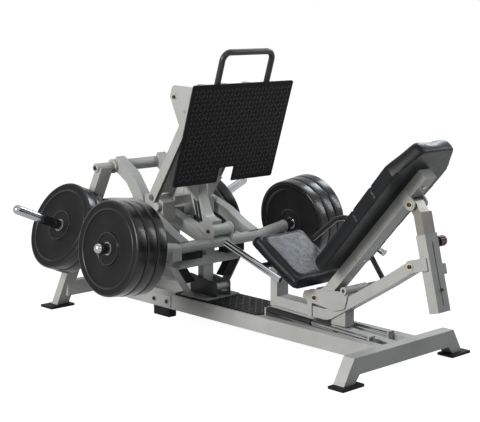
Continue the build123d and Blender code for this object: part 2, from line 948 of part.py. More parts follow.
with BuildPart() as load_horns:
    for sign, name in sides:
        horn(
            load_axes[name].offset(horn_sleeve_length), horn_length - horn_sleeve_length, horn_radius,
            0, horn_collar_length, horn_collar_radius,
        )
finish(load_horns, "load_horns")

plate_bore = horn_radius + plate_bore_gap
for sign, name in sides:
    with BuildPart() as front_plates:
        for count in range(front_plate_count):
            weight_plate(load_axes[name], front_stack_start + plate_gap + count * plate_thickness)
    finish(front_plates, name + "_front_plates")

# Foot plate and its carrier

foot_up = unit(foot_bottom, foot_top)
foot_back = (foot_up[1], -foot_up[0])
foot_length = hypot(foot_top[0] - foot_bottom[0], foot_top[1] - foot_bottom[1])


def on_foot_back(height):
    """The point at a height on the back face of the foot plate."""
    back_low = moved(foot_bottom, foot_back, foot_thickness)
    share = (height - back_low[1]) / foot_up[1]
    return (back_low[0] + foot_up[0] * share, height)


foot_origin = at(foot_bottom)
foot_plane = Plane(
    origin=(0, foot_origin[0], foot_origin[1]), x_dir=(1, 0, 0), z_dir=(0, -foot_back[0], -foot_back[1])
)
with BuildPart() as foot_plate:
    with BuildSketch(foot_plane) as foot_outline:
        with Locations((0, foot_length / 2)):
            Rectangle(2 * foot_half, foot_length)
        fillet(foot_outline.vertices(), foot_corner)
        with BuildSketch(foot_plane, mode=Mode.SUBTRACT) as notch:
            with Locations((0, notch_depth / 2 - cut_over)):
                Rectangle(2 * notch_half, notch_depth + cut_over)
            fillet(notch.vertices().group_by(Axis.Y)[-1], notch_corner)
    extrude(amount=-foot_thickness)
finish(foot_plate, "foot_plate")

handle_offset = foot_thickness + handle_radius
handle_low = moved(foot_top, foot_up, -handle_drop, foot_back, handle_offset)
handle_high = moved(foot_top, foot_up, handle_rise, foot_back, handle_offset)
with BuildPart() as foot_handle:
    with BuildLine() as handle_path:
        FilletPolyline(
            (-handle_half, *at(handle_low)),
            (-handle_half, *at(handle_high)),
            (handle_half, *at(handle_high)),
            (handle_half, *at(handle_low)),
            radius=handle_bend,
        )
    with BuildSketch(Plane(origin=handle_path.line @ 0, z_dir=handle_path.line % 0)):
        Circle(handle_radius)
    sweep()
finish(foot_handle, "foot_handle")

with BuildPart() as side_brackets:
    for sign in (-1, 1):
        for plate_x in (bracket_x, inner_bracket_x):
            with BuildSketch(side(outward(sign, plate_x, -bracket_thickness))) as bracket_outline:
                Polygon(
                    at(on_foot_back(bracket_front_top)),
                    at(bracket_top_rear),
                    at(bracket_rear),
                    at(bracket_waist),
                    at(bracket_low),
                    at(on_foot_back(bracket_front_low)),
                    align=None,
                )
                fillet(bracket_outline.vertices().sort_by(Axis.Y)[-2:], bracket_corner)
            extrude(amount=bracket_thickness)
    rod(-bracket_x, 2 * bracket_x, carrier_tube, carrier_tube_radius)
    rod(-bracket_x, 2 * bracket_x, link_high, link_pin_radius, Mode.SUBTRACT)
    rod(-bracket_x, 2 * bracket_x, bracket_bolt, hub_pin_radius / 2, Mode.SUBTRACT)
finish(side_brackets, "side_brackets")

with BuildPart() as carrier_pins:
    for sign in (-1, 1):
        pin_inner = inner_bracket_x - bracket_thickness
        pin_length = bracket_x - pin_inner
        rod(outward(sign, pin_inner, pin_length), pin_length, link_high, link_pin_radius)
        bolt_head(sign * bracket_x, bracket_bolt, sign)
finish(carrier_pins, "carrier_pins")

with BuildPart() as press_strut:
    bar(
        -strut_half, 2 * strut_half, (strut_foot, strut_low, strut_mid, strut_high, strut_end),
        strut_depth, strut_bend,
    )
    for sign in (-1, 1):
        with BuildSketch(across(gusset_front + gusset_depth)):
            Polygon(
                (sign * strut_half, gusset_top),
                (sign * gusset_half, gusset_top),
                (sign * strut_half, gusset_bottom),
                align=None,
            )
        extrude(amount=gusset_depth)
    rod(-hub_half, 2 * hub_half, hub, hub_radius)
    for sign in (-1, 1):
        rod(outward(sign, hub_half, -hub_flange_width), hub_flange_width, hub, hub_flange_radius)
    rod(-hub_half, 2 * hub_half, hub, hub_pin_radius + running_gap, Mode.SUBTRACT)
    rod(-bracket_x, 2 * bracket_x, carrier_tube, carrier_tube_radius, Mode.SUBTRACT)
finish(press_strut, "press_strut")

slot_lean = radians(slot_plate_lean)
with BuildPart() as slot_plate:
    with BuildSketch(side(-strut_half - slot_plate_thickness)):
        with Locations(at(slot_plate_middle)):
            Rectangle(slot_plate_width, slot_plate_length, rotation=-slot_plate_lean)
            SlotOverall(slot_length, slot_width, rotation=quarter_turn - slot_plate_lean, mode=Mode.SUBTRACT)
    extrude(amount=slot_plate_thickness)
    add(press_strut.part, mode=Mode.SUBTRACT)
finish(slot_plate, "slot_plate")

# Links

link_up = unit(link_low, link_high)
link_front = (-link_up[1], link_up[0])
for sign, name in sides:
    with BuildPart() as link:
        for cheek_start, cheek_width in (
            (link_inner, post_inner - seam - link_inner),
            (post_outer + seam, link_outer - post_outer - seam),
            (link_strap_x, link_strap_thickness),
        ):
            bar(outward(sign, cheek_start, cheek_width), cheek_width, (link_low, link_high), link_width)
            rod(outward(sign, cheek_start, cheek_width), cheek_width, link_low, link_width / 2)
            rod(outward(sign, cheek_start, cheek_width), cheek_width, link_high, link_eye_radius)
        web_low = moved(link_low, link_up, link_web_rise, link_front, (link_width - link_web) / 2)
        web_high = moved(link_high, link_up, -link_web_rise, link_front, (link_width - link_web) / 2)
        bar(
            outward(sign, link_inner, link_outer - link_inner), link_outer - link_inner,
            (web_low, web_high), link_web,
        )
        spacer = link_strap_x - link_outer
        for share in link_spacer_shares:
            rod(
                outward(sign, link_outer, spacer), spacer,
                between(link_low, link_high, share), link_head_radius,
            )
        rod(-bracket_x, 2 * bracket_x, link_low, link_pin_radius + running_gap, Mode.SUBTRACT)
        rod(-bracket_x, 2 * bracket_x, link_high, link_pin_radius + link_pin_clearance, Mode.SUBTRACT)
    finish(link, name + "_link")

with BuildPart() as pivot_pins:
    rod(-beam_pin_half, 2 * beam_pin_half, beam_pivot, beam_pin_radius)
    for sign in (-1, 1):
        pin_outer = link_strap_x + link_strap_thickness + seam
        pin_inner = link_inner - seam
        rod(outward(sign, pin_inner, pin_outer - pin_inner), pin_outer - pin_inner, link_low, link_pin_radius)
        rod(outward(sign, pin_outer, link_head_height), link_head_height, link_low, link_head_radius)
        rod(outward(sign, pin_inner, -link_head_height), link_head_height, link_low, link_head_radius)
finish(pivot_pins, "pivot_pins")

# Seat rails

rail_run = unit(seat_rail_front, seat_rail_rear)
rail_normal = (-rail_run[1], rail_run[0])


def on_rail(y):
    """The height of the seat rails' axis at y."""
    return seat_rail_front[1] + (y - seat_rail_front[0]) * rail_run[1] / rail_run[0]


with BuildPart() as seat_rails:
    for sign in (-1, 1):
        straight_rod(sign * seat_rail_x, seat_rail_front, seat_rail_rear, seat_rail_radius)
finish(seat_rails, "seat_rails")

rail_inner = rail_x - rail_width / 2
index_end = (index_bar_end, on_rail(index_bar_end) - index_bar_drop - index_bar_thickness / 2)
index_start = (front_bar_back, on_rail(front_bar_back) - index_bar_drop - index_bar_thickness / 2)
with BuildPart() as rail_supports:
    block(
        -rail_inner, 2 * rail_inner, seat_rail_front[0], rail_plate_thickness,
        rail_bottom, seat_rail_front[1] + rail_plate_over - rail_bottom,
    )
    block(
        -rail_inner, 2 * rail_inner, seat_rail_rear[0] - rail_plate_thickness, rail_plate_thickness,
        rail_bottom, seat_rail_rear[1] + seat_rail_radius - rail_bottom,
    )
    block(
        -rail_plate_notch, 2 * rail_plate_notch, seat_rail_front[0], rail_plate_thickness,
        index_start[1] - index_bar_thickness, rail_height, Mode.SUBTRACT,
    )
    block(
        -rail_inner, 2 * rail_inner, index_bar_end - index_strap_depth, index_strap_depth,
        rail_bottom, rail_plate_hole,
    )
    block(
        -index_bar_half, 2 * index_bar_half, index_bar_end - rail_plate_thickness, rail_plate_thickness,
        rail_bottom, index_end[1] - rail_bottom,
    )
    for sign in (-1, 1):
        hole_origin = (sign * rail_plate_hole_x, seat_rail_front[0] - middle, rail_plate_hole_z)
        with Locations(Plane(origin=hole_origin, z_dir=(0, 1, 0))):
            Cylinder(rail_plate_hole, 2 * rail_plate_thickness + cut_over, mode=Mode.SUBTRACT)
    bar(-index_bar_half, 2 * index_bar_half, (index_start, index_end), index_bar_thickness)
    for count in range(index_hole_count):
        with Locations((0, latch_y - count * index_hole_pitch - middle, rail_top)):
            Cylinder(latch_pin_radius + running_gap, 2 * rail_height, mode=Mode.SUBTRACT)
    for sign in (-1, 1):
        straight_rod(sign * seat_rail_x, seat_rail_front, seat_rail_rear, seat_rail_radius, Mode.SUBTRACT)
    add(front_crossbar.part, mode=Mode.SUBTRACT)
finish(rail_supports, "rail_supports")

# Seat carriage

seat_run = unit(seat_hip, seat_knee)
seat_up = (-seat_run[1], seat_run[0])
seat_length = hypot(seat_knee[0] - seat_hip[0], seat_knee[1] - seat_hip[1])
seat_low = moved(seat_hip, seat_up, -seat_thickness)


def under_board(y):
    """The height just below the seat board at y."""
    board_low = moved(seat_low, seat_up, -seat_board_thickness - 2 * seam)
    return board_low[1] + (y - board_low[0]) * seat_run[1] / seat_run[0]


housing_low = (housing_front, on_rail(housing_front))
housing_high = (housing_rear, on_rail(housing_rear))
with BuildPart() as bearing_housings:
    for sign in (-1, 1):
        straight_rod(sign * seat_rail_x, housing_low, housing_high, housing_radius)
        straight_rod(
            sign * seat_rail_x, housing_low, housing_high, seat_rail_radius + running_gap, Mode.SUBTRACT
        )
finish(bearing_housings, "bearing_housings")

with BuildPart() as carriage_frame:
    bar(
        -tube_half, 2 * tube_half,
        (carriage_rear, carriage_mid, carriage_low, carriage_rise, carriage_arm_end),
        beam_depth, carriage_bend,
    )
    bar(-tube_half, 2 * tube_half, (carriage_arm_end, adjuster_bolt), beam_depth)
    rod(-tube_half - seam, 2 * (tube_half + seam), adjuster_bolt, beam_depth / 2)
    sheet(
        -tube_half, 2 * tube_half,
        (
            (seat_post_front, carriage_rear[1]),
            (seat_post_back, carriage_rear[1]),
            (seat_post_back, under_board(seat_post_back)),
            (seat_post_front, under_board(seat_post_front)),
        ),
    )
    sheet(
        -seat_web_half, 2 * seat_web_half,
        (
            (seat_post_front, seat_web_bottom),
            (seat_post_front, under_board(seat_post_front)),
            (seat_web_front, under_board(seat_web_front)),
            (seat_web_front, under_board(seat_web_front) - seat_web_depth),
        ),
    )
    sheet(
        -carriage_base_half, 2 * carriage_base_half,
        (
            moved(housing_low, rail_run, 0, rail_normal, carriage_base_lift),
            moved(housing_high, rail_run, 0, rail_normal, carriage_base_lift),
            moved(housing_high, rail_run, 0, rail_normal, housing_radius + carriage_base_rise),
            moved(housing_low, rail_run, 0, rail_normal, housing_radius + carriage_base_rise),
        ),
    )
    for sign in (-1, 1):
        straight_rod(sign * seat_rail_x, housing_low, housing_high, housing_radius, Mode.SUBTRACT)
        plate_start = outward(sign, tube_half, cheek_plate_thickness)
        sheet(plate_start, cheek_plate_thickness, hinge_plate_points)
        sheet(
            plate_start, cheek_plate_thickness,
            (
                (web_front, carriage_mid[1] - beam_depth / 2),
                (web_back, carriage_mid[1] - beam_depth / 2),
                (web_back, seat_hinge[1]),
                (web_front, seat_hinge[1]),
            ),
        )
    block(
        -foot_bracket_half, 2 * foot_bracket_half, foot_bracket_front, foot_bracket_back - foot_bracket_front,
        foot_bracket_bottom, carriage_rise[1] - foot_bracket_bottom,
    )
    with Locations((0, latch_y - middle, foot_bracket_bottom)):
        Cylinder(
            latch_pin_radius + running_gap, latch_bore_height,
            align=(Align.CENTER, Align.CENTER, Align.MIN), mode=Mode.SUBTRACT,
        )
    rod(lever_tube_near, lever_tube_far - lever_tube_near, lever_axis, lever_tube_radius)
    rod(
        lever_tube_near, lever_tube_far - lever_tube_near, lever_axis,
        lever_shaft_radius + running_gap, Mode.SUBTRACT,
    )
    rod(-cut_reach, 2 * cut_reach, seat_hinge, pivot_bolt_radius, Mode.SUBTRACT)
    rod(-cut_reach, 2 * cut_reach, adjuster_bolt, pivot_bolt_radius, Mode.SUBTRACT)
    rod(-cut_reach, 2 * cut_reach, grip_bar_centre, grip_bar_radius, Mode.SUBTRACT)
finish(carriage_frame, "carriage_frame")

with BuildPart() as pivot_bolts:
    for point, half in (
        (seat_hinge, tube_half + cheek_plate_thickness),
        (adjuster_bolt, sleeve_half + fork_thickness + seam),
    ):
        rod(-half, 2 * half, point, pivot_bolt_radius)
        for sign in (-1, 1):
            bolt_head(sign * half, point, sign)
finish(pivot_bolts, "pivot_bolts")

with BuildPart() as latch_pin:
    with BuildSketch(Plane.XY.offset(on_rail(latch_y) - index_bar_drop + seam)):
        with Locations((0, latch_y - middle)):
            Circle(latch_pin_radius)
    extrude(amount=latch_pin_length)
finish(latch_pin, "latch_pin")

with BuildPart() as grip_crossbar:
    rod(-grip_x, grip_x + grip_bar_far, grip_bar_centre, grip_bar_radius)
    straight_rod(-grip_x, grip_tip, grip_far, grip_radius, Mode.SUBTRACT)
finish(grip_crossbar, "grip_crossbar")

with BuildPart() as seat_grip:
    straight_rod(-grip_x, grip_tip, grip_far, grip_radius)
finish(seat_grip, "seat_grip")


def cushion(outline, corner, plane, thickness, crown):
    """Loft a crowned pad from its own outline: drawn in below, full at the sides, rounded to the top."""
    sections = []
    for inset_share, height_share in cushion_shares:
        with BuildSketch(plane.offset(thickness * height_share)) as section:
            Polygon(*outline(crown * inset_share), align=None)
            fillet(section.vertices(), corner)
        sections.append(section.sketch.faces()[0])
    loft(sections)


def seat_outline(inset):
    """The seat pad's corners, drawn in by an amount."""
    half = seat_half - inset
    return ((-half, inset), (half, inset), (half, seat_length - inset), (-half, seat_length - inset))


seat_origin = at(seat_low)
with BuildPart() as seat_pad:
    cushion(
        seat_outline, seat_corner,
        Plane(origin=(0, *seat_origin), x_dir=(1, 0, 0), z_dir=(0, *seat_up)),
        seat_thickness, seat_crown,
    )
finish(seat_pad, "seat_pad")

board_drop = -seam - seat_board_thickness / 2
with BuildPart() as seat_board:
    bar(
        -seat_board_half, 2 * seat_board_half,
        (
            moved(seat_low, seat_run, seat_board_inset, seat_up, board_drop),
            moved(seat_low, seat_run, seat_length - seat_board_inset, seat_up, board_drop),
        ),
        seat_board_thickness,
    )
finish(seat_board, "seat_board")

# Release lever beside the backrest

with BuildPart() as seat_lever:
    with BuildLine() as lever_path:
        FilletPolyline(
            (lever_x, *at(lever_axis)),
            (lever_x, *at(lever_back)),
            (lever_x, *at(lever_front)),
            (lever_x, *at(lever_tip)),
            radius=lever_bend,
        )
    with BuildSketch(Plane(origin=lever_path.line @ 0, z_dir=lever_path.line % 0)):
        Circle(lever_rod_radius)
    sweep()
    rod(lever_tube_near - seam, lever_x - lever_tube_near, lever_axis, lever_shaft_radius)
    rod(lever_tube_far + seam, lever_x - lever_tube_far, lever_axis, lever_rod_radius)
finish(seat_lever, "seat_lever")

with BuildPart() as lever_grip:
    straight_rod(
        lever_x + lever_rod_radius + lever_grip_radius, lever_grip_tip, lever_grip_end, lever_grip_radius,
    )
finish(lever_grip, "lever_grip")

# Backrest

back_angle = radians(back_lean)
back_up = (-cos(back_angle), sin(back_angle))
back_front = (sin(back_angle), cos(back_angle))


def on_back(distance, lift=0):
    """A point up the backrest's front line, lifted off it towards the user."""
    return moved(back_start, back_up, distance, back_front, lift)


with BuildPart() as back_tube:
    bar(
        -tube_half, 2 * tube_half,
        (on_back(back_tube_low, -back_tube_depth / 2), on_back(back_tube_length, -back_tube_depth / 2)),
        back_tube_depth,
    )
    bar(-tube_half, 2 * tube_half, (seat_hinge, on_back(back_lug_top, -back_tube_depth / 2)), back_lug_depth)
    rod(-tube_half, 2 * tube_half, seat_hinge, back_lug_depth / 2)
    rod(-tube_half, 2 * tube_half, seat_hinge, pivot_bolt_radius + running_gap, Mode.SUBTRACT)
    rod(
        -inner_lug_half - lug_relief, 2 * (inner_lug_half + lug_relief), upper_bolt,
        inner_lug_radius + inner_lug_clearance, Mode.SUBTRACT,
    )
    for sign in (-1, 1):
        ear_start = outward(sign, tube_half, upper_ear_thickness)
        bar(
            ear_start, upper_ear_thickness,
            (upper_bolt, moved(upper_bolt, back_front, upper_ear_reach)), 2 * upper_ear_radius,
        )
        rod(ear_start, upper_ear_thickness, upper_bolt, upper_ear_radius)
    rod(-cut_reach, 2 * cut_reach, upper_bolt, upper_pin_radius, Mode.SUBTRACT)
finish(back_tube, "back_tube")

with BuildPart() as back_cap:
    bar(
        -tube_half, 2 * tube_half,
        (
            on_back(back_tube_length, -back_tube_depth / 2),
            on_back(back_tube_length + back_cap_length, -back_tube_depth / 2),
        ),
        back_tube_depth,
    )
finish(back_cap, "back_cap")

with BuildPart() as upper_pin:
    pin_half = tube_half + upper_ear_thickness
    rod(-pin_half, 2 * pin_half, upper_bolt, upper_pin_radius)
    for sign in (-1, 1):
        bolt_head(sign * pin_half, upper_bolt, sign)
finish(upper_pin, "upper_pin")

with BuildPart() as back_bolts:
    for distance in (back_bolt_low, back_bolt_high):
        point = at(on_back(distance, -back_tube_depth * back_bolt_share))
        for sign in (-1, 1):
            with BuildSketch(Plane(origin=(sign * tube_half, *point), z_dir=(sign, 0, 0))):
                Circle(back_bolt_head)
            extrude(amount=socket_depth)
        rear = on_back(distance + 2 * back_bolt_head, -back_tube_depth)
        straight_rod(0, rear, moved(rear, back_front, -socket_depth), back_bolt_head)
finish(back_bolts, "back_bolts")


def back_outline(inset):
    """The back pad's corners, drawn in by an amount, with a tapered head end."""
    low_half = back_pad_low_half - inset
    high_half = back_pad_high_half - inset
    top_half = back_pad_top_half - inset
    taper_height, top_height = back_pad_taper - back_pad_start, back_pad_end - back_pad_start - inset
    return (
        (low_half, inset),
        (high_half, taper_height),
        (top_half, top_height),
        (-top_half, top_height),
        (-high_half, taper_height),
        (-low_half, inset),
    )


back_origin = at(on_back(back_pad_start, seam))
with BuildPart() as back_pad:
    cushion(
        back_outline, back_pad_corner,
        Plane(origin=(0, *back_origin), x_dir=(-1, 0, 0), z_dir=(0, *back_front)),
        back_pad_thickness, back_pad_crown,
    )
    for distance in (back_seam_low, back_seam_high):
        rod(
            -back_pad_high_half, 2 * back_pad_high_half,
            on_back(distance, back_pad_thickness + back_seam_radius - back_seam_depth),
            back_seam_radius, Mode.SUBTRACT,
        )
finish(back_pad, "back_pad")

# Telescopic adjuster behind the backrest

sleeve_up = unit(sleeve_bottom, sleeve_top)
sleeve_front = (sleeve_up[1], -sleeve_up[0])
sleeve_length = hypot(sleeve_top[0] - sleeve_bottom[0], sleeve_top[1] - sleeve_bottom[1])
slot_low = moved(sleeve_bottom, sleeve_up, sleeve_slot_bottom, sleeve_front, -sleeve_depth / 2)
slot_high = moved(sleeve_top, sleeve_up, -sleeve_slot_top, sleeve_front, -sleeve_depth / 2)
with BuildPart() as adjuster_sleeve:
    bar(-sleeve_half, 2 * sleeve_half, (sleeve_bottom, sleeve_top), sleeve_depth)
    for sign in (-1, 1):
        fork_start = outward(sign, sleeve_half, fork_thickness)
        bar(
            fork_start, fork_thickness,
            (adjuster_bolt, moved(adjuster_bolt, sleeve_front, -fork_reach)), 2 * fork_radius,
        )
        rod(fork_start, fork_thickness, adjuster_bolt, fork_radius)
    tab_low = moved(
        sleeve_top, sleeve_up, -sleeve_length * tab_share, sleeve_front, (tab_thickness - sleeve_depth) / 2
    )
    bar(sleeve_half, tab_width, (tab_low, moved(tab_low, sleeve_up, -tab_length)), tab_thickness)
    bar(
        sleeve_wall - sleeve_half, 2 * (sleeve_half - sleeve_wall),
        (moved(sleeve_bottom, sleeve_up, -cut_over), moved(sleeve_top, sleeve_up, cut_over)),
        sleeve_depth - 2 * sleeve_wall, 0, Mode.SUBTRACT,
    )
    bar(
        -sleeve_slot_width / 2, sleeve_slot_width, (slot_low, slot_high), 2 * sleeve_wall + cut_over, 0,
        Mode.SUBTRACT,
    )
    rod(0, 2 * sleeve_half, knob_centre, pull_pin_radius + running_gap, Mode.SUBTRACT)
    rod(-cut_reach, 2 * cut_reach, adjuster_bolt, pivot_bolt_radius + running_gap, Mode.SUBTRACT)
finish(adjuster_sleeve, "adjuster_sleeve")

inner_half = sleeve_half - sleeve_wall - seam
inner_depth = sleeve_depth - 2 * (sleeve_wall + seam)
inner_low = moved(sleeve_top, sleeve_up, -sleeve_length * inner_low_share)
bolt_rise = (upper_bolt[0] - sleeve_top[0]) * sleeve_up[0] + (upper_bolt[1] - sleeve_top[1]) * sleeve_up[1]
inner_high = moved(sleeve_top, sleeve_up, bolt_rise - inner_top_gap)
with BuildPart() as adjuster_inner:
    bar(-inner_half, 2 * inner_half, (inner_low, inner_high), inner_depth)
    bar(
        -inner_lug_half, 2 * inner_lug_half,
        (moved(inner_high, sleeve_up, -inner_lug_radius), upper_bolt), 2 * inner_lug_radius,
    )
    rod(-inner_lug_half, 2 * inner_lug_half, upper_bolt, inner_lug_radius)
    rod(-cut_reach, 2 * cut_reach, upper_bolt, upper_pin_radius + inner_lug_clearance, Mode.SUBTRACT)
finish(adjuster_inner, "adjuster_inner")

ball_foot = moved(sleeve_top, sleeve_up, -sleeve_length * ball_share, sleeve_front, -inner_depth / 2)
ball_tip = moved(ball_foot, sleeve_front, -sleeve_wall - ball_radius)
with BuildPart() as slot_ball:
    straight_rod(0, ball_foot, ball_tip, sleeve_slot_width / 2 - seam)
    with Locations((0, *at(ball_tip))):
        Sphere(ball_radius)
finish(slot_ball, "slot_ball")

with BuildPart() as knob_base:
    rod(sleeve_half, knob_base_length, knob_centre, knob_base_radius)
    rod(sleeve_half, knob_base_length, knob_centre, pull_pin_radius + running_gap, Mode.SUBTRACT)
finish(knob_base, "knob_base")

with BuildPart() as pull_knob:
    knob_start = sleeve_half + knob_base_length + seam
    with BuildSketch(side(knob_start)):
        with Locations(at(knob_centre)):
            Circle(knob_radius)
            with PolarLocations(knob_radius, knob_ribs):
                Circle(knob_rib_radius)
    extrude(amount=knob_length)
    rod(knob_start + knob_length, knob_cap_height, knob_centre, knob_radius - knob_rib_radius)
    rod(inner_half + pull_pin_gap, knob_start - inner_half - pull_pin_gap, knob_centre, pull_pin_radius)
finish(pull_knob, "pull_knob")
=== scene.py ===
import json
import math

import bmesh
import bpy
import numpy as np
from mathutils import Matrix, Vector


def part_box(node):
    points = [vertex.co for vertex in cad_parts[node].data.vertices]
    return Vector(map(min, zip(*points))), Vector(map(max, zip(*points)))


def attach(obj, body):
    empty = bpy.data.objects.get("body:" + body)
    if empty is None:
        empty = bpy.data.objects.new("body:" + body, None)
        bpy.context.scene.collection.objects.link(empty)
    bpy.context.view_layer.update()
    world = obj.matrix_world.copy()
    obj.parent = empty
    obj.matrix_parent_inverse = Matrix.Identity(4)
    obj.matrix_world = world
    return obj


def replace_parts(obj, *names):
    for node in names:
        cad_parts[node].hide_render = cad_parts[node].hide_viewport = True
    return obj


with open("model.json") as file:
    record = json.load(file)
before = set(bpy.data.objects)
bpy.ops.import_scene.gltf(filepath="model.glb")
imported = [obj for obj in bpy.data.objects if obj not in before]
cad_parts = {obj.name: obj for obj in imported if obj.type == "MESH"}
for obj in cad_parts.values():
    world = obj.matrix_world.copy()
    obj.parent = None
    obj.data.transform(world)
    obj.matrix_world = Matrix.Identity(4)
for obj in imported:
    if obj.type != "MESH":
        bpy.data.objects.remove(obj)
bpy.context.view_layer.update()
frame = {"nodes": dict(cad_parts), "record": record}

# Places are read in millimetres on the side view, where y counts from behind the front floor pads. The row's
# frame is in metres, and its y counts from MIDDLE.
MM = 0.001
MIDDLE = 963.889
NODES = frame["nodes"]
ACROSS = Vector((1, 0, 0))
SIDES = (-1, 1)


def at(y, z, x=0.0):
    """A point given by its side-view reading in millimetres."""
    return Vector((x * MM, (y - MIDDLE) * MM, z * MM))


def leaning(sign, degrees):
    """A direction out to one side, tilted up."""
    return Vector((sign * math.cos(math.radians(degrees)), 0, math.sin(math.radians(degrees))))


# Shader nodes

def node(tree, kind, **values):
    """Add a shader node and set its sockets and properties."""
    made = tree.nodes.new(kind)
    for key, value in values.items():
        if key in made.inputs:
            made.inputs[key].default_value = value
        else:
            setattr(made, key, value)
    return made


def noise(tree, coord, scale, detail=4.0, rough=0.55):
    made = node(tree, "ShaderNodeTexNoise", Scale=scale, Detail=detail, Roughness=rough)
    tree.links.new(coord, made.inputs["Vector"])
    return made.outputs["Fac"]


def ramp(tree, factor, low, high, start=0.3, stop=0.7):
    """A colour that goes from low to high as the factor goes from start to stop."""
    made = node(tree, "ShaderNodeValToRGB")
    for element, position, colour in zip(made.color_ramp.elements, (start, stop), (low, high)):
        element.position = position
        element.color = (*colour, 1)
    tree.links.new(factor, made.inputs["Fac"])
    return made.outputs["Color"]


def spread(tree, factor, low, high, start=0.3, stop=0.7):
    """A number that goes from low to high as the factor goes from start to stop."""
    made = node(tree, "ShaderNodeMapRange")
    made.inputs["From Min"].default_value = start
    made.inputs["From Max"].default_value = stop
    made.inputs["To Min"].default_value = low
    made.inputs["To Max"].default_value = high
    tree.links.new(factor, made.inputs["Value"])
    return made.outputs["Result"]


def calculated(tree, kind, operation, first, second):
    """The node that works out an operation on two sockets."""
    made = node(tree, kind, operation=operation)
    tree.links.new(first, made.inputs[0])
    tree.links.new(second, made.inputs[1])
    return made


def mixed(tree, factor, colour, other):
    """A colour that turns into the other one as the factor goes from 0 to 1."""
    made = node(tree, "ShaderNodeMix", data_type="RGBA")
    tree.links.new(factor, made.inputs["Factor"])
    tree.links.new(colour, made.inputs["A"])
    made.inputs["B"].default_value = (*other, 1)
    return made.outputs["Result"]


def rubbed(tree, rounded, coord, scale):
    """How far a place is rubbed: not at all on a flat face, and in patches where the rounded normal turns."""
    plain = node(tree, "ShaderNodeNewGeometry").outputs["Normal"]
    agreed = calculated(tree, "ShaderNodeVectorMath", "DOT_PRODUCT", rounded, plain).outputs["Value"]
    on_edge = spread(tree, agreed, **EDGE_RUBBED)
    patchy = spread(tree, noise(tree, coord, scale, detail=5.0), EDGE_LEAST, 1.0)
    return calculated(tree, "ShaderNodeMath", "MULTIPLY", on_edge, patchy).outputs[0]


# Materials

# Scales are multiples of the mottle's.
WEAR_SCALE, EDGE_SCALE, SMEAR_SCALE = 5, 6, 4
WEAR_PATCHES = dict(low=0.0, high=0.5, start=0.62, stop=0.74)
EDGE_RUBBED = dict(low=0.55, high=0.0, start=0.90, stop=0.995)
EDGE_LEAST = 0.2
BEVEL_SAMPLES = 4


def surface(name, dark, light, rough, metallic=0.0, specular=0.5, mottle=9.0, uneven=0.18, grain=900.0,
            grain_depth=0.02, bevel=0.0, edge=None, wear=None):
    """A painted, metal, rubber or vinyl finish.

    The colour runs from dark to light in clouds of the scale mottle, and the roughness varies by the share
    uneven. A bump of the scale grain is grain_depth millimetres deep, and edges look rounded by bevel
    millimetres. Rubbed edges take the colour edge, and scuffed patches the colour wear.
    """
    made = bpy.data.materials.new(name)
    made.use_nodes = True
    tree = made.node_tree
    shader = tree.nodes["Principled BSDF"]
    shader.inputs["Metallic"].default_value = metallic
    shader.inputs["Specular IOR Level"].default_value = specular
    coord = node(tree, "ShaderNodeTexCoord").outputs["Object"]
    colour = ramp(tree, noise(tree, coord, mottle), dark, light)
    if wear:
        patches = noise(tree, coord, mottle * WEAR_SCALE, detail=6.0, rough=0.7)
        colour = mixed(tree, spread(tree, patches, **WEAR_PATCHES), colour, wear)
    bump = node(tree, "ShaderNodeBump", Strength=1.0, Distance=grain_depth * MM)
    tree.links.new(noise(tree, coord, grain, detail=2.0), bump.inputs["Height"])
    if bevel:
        rounded = node(tree, "ShaderNodeBevel", samples=BEVEL_SAMPLES, Radius=bevel * MM).outputs["Normal"]
        tree.links.new(rounded, bump.inputs["Normal"])
        if edge:
            colour = mixed(tree, rubbed(tree, rounded, coord, mottle * EDGE_SCALE), colour, edge)
    smear = noise(tree, coord, mottle * SMEAR_SCALE, detail=5.0)
    roughness = spread(tree, smear, rough * (1 - uneven), rough * (1 + uneven))
    tree.links.new(roughness, shader.inputs["Roughness"])
    tree.links.new(colour, shader.inputs["Base Color"])
    tree.links.new(bump.outputs["Normal"], shader.inputs["Normal"])
    return made


def beyond(made, half, colour):
    """Give a finish another colour where it lies further than half, in millimetres, from the middle plane."""
    tree = made.node_tree
    base = tree.nodes["Principled BSDF"].inputs["Base Color"]
    parted = node(tree, "ShaderNodeSeparateXYZ")
    tree.links.new(node(tree, "ShaderNodeTexCoord").outputs["Object"], parted.inputs[0])
    away = node(tree, "ShaderNodeMath", operation="ABSOLUTE")
    tree.links.new(parted.outputs["X"], away.inputs[0])
    outer = node(tree, "ShaderNodeMath", operation="GREATER_THAN")
    outer.inputs[1].default_value = half * MM
    tree.links.new(away.outputs[0], outer.inputs[0])
    tree.links.new(mixed(tree, outer.outputs[0], base.links[0].from_socket, colour), base)
    return made


GREY_PAINT = dict(dark=(0.33, 0.335, 0.33), light=(0.38, 0.385, 0.375), rough=0.40, metallic=0.05,
                  specular=0.18, grain=1300.0, grain_depth=0.03)
PAINT = surface("frame_paint", **GREY_PAINT, bevel=2.6, edge=(0.55, 0.55, 0.53))
# The pivot cheeks keep the grey paint within 42 mm of the middle plane, where the bush is, and are near black
# beyond it: painted shade for the shadow the cheeks lie in.
CHEEKS_IN_PAINTED_SHADE = beyond(surface("cheek_paint_painted_shade", **GREY_PAINT, bevel=2.0), half=42.0, colour=(0.045, 0.045, 0.047))
DARK = surface("dark_paint", dark=(0.010, 0.010, 0.012), light=(0.018, 0.018, 0.020), rough=0.32,
               specular=0.3, grain=1100.0, grain_depth=0.03, bevel=2.0, edge=(0.07, 0.07, 0.07))
TREAD = surface("tread_plate", dark=(0.0035, 0.0035, 0.004), light=(0.0065, 0.0065, 0.007), rough=0.5,
                specular=0.08, grain=700.0, grain_depth=0.05, bevel=1.2, edge=(0.07, 0.07, 0.07))
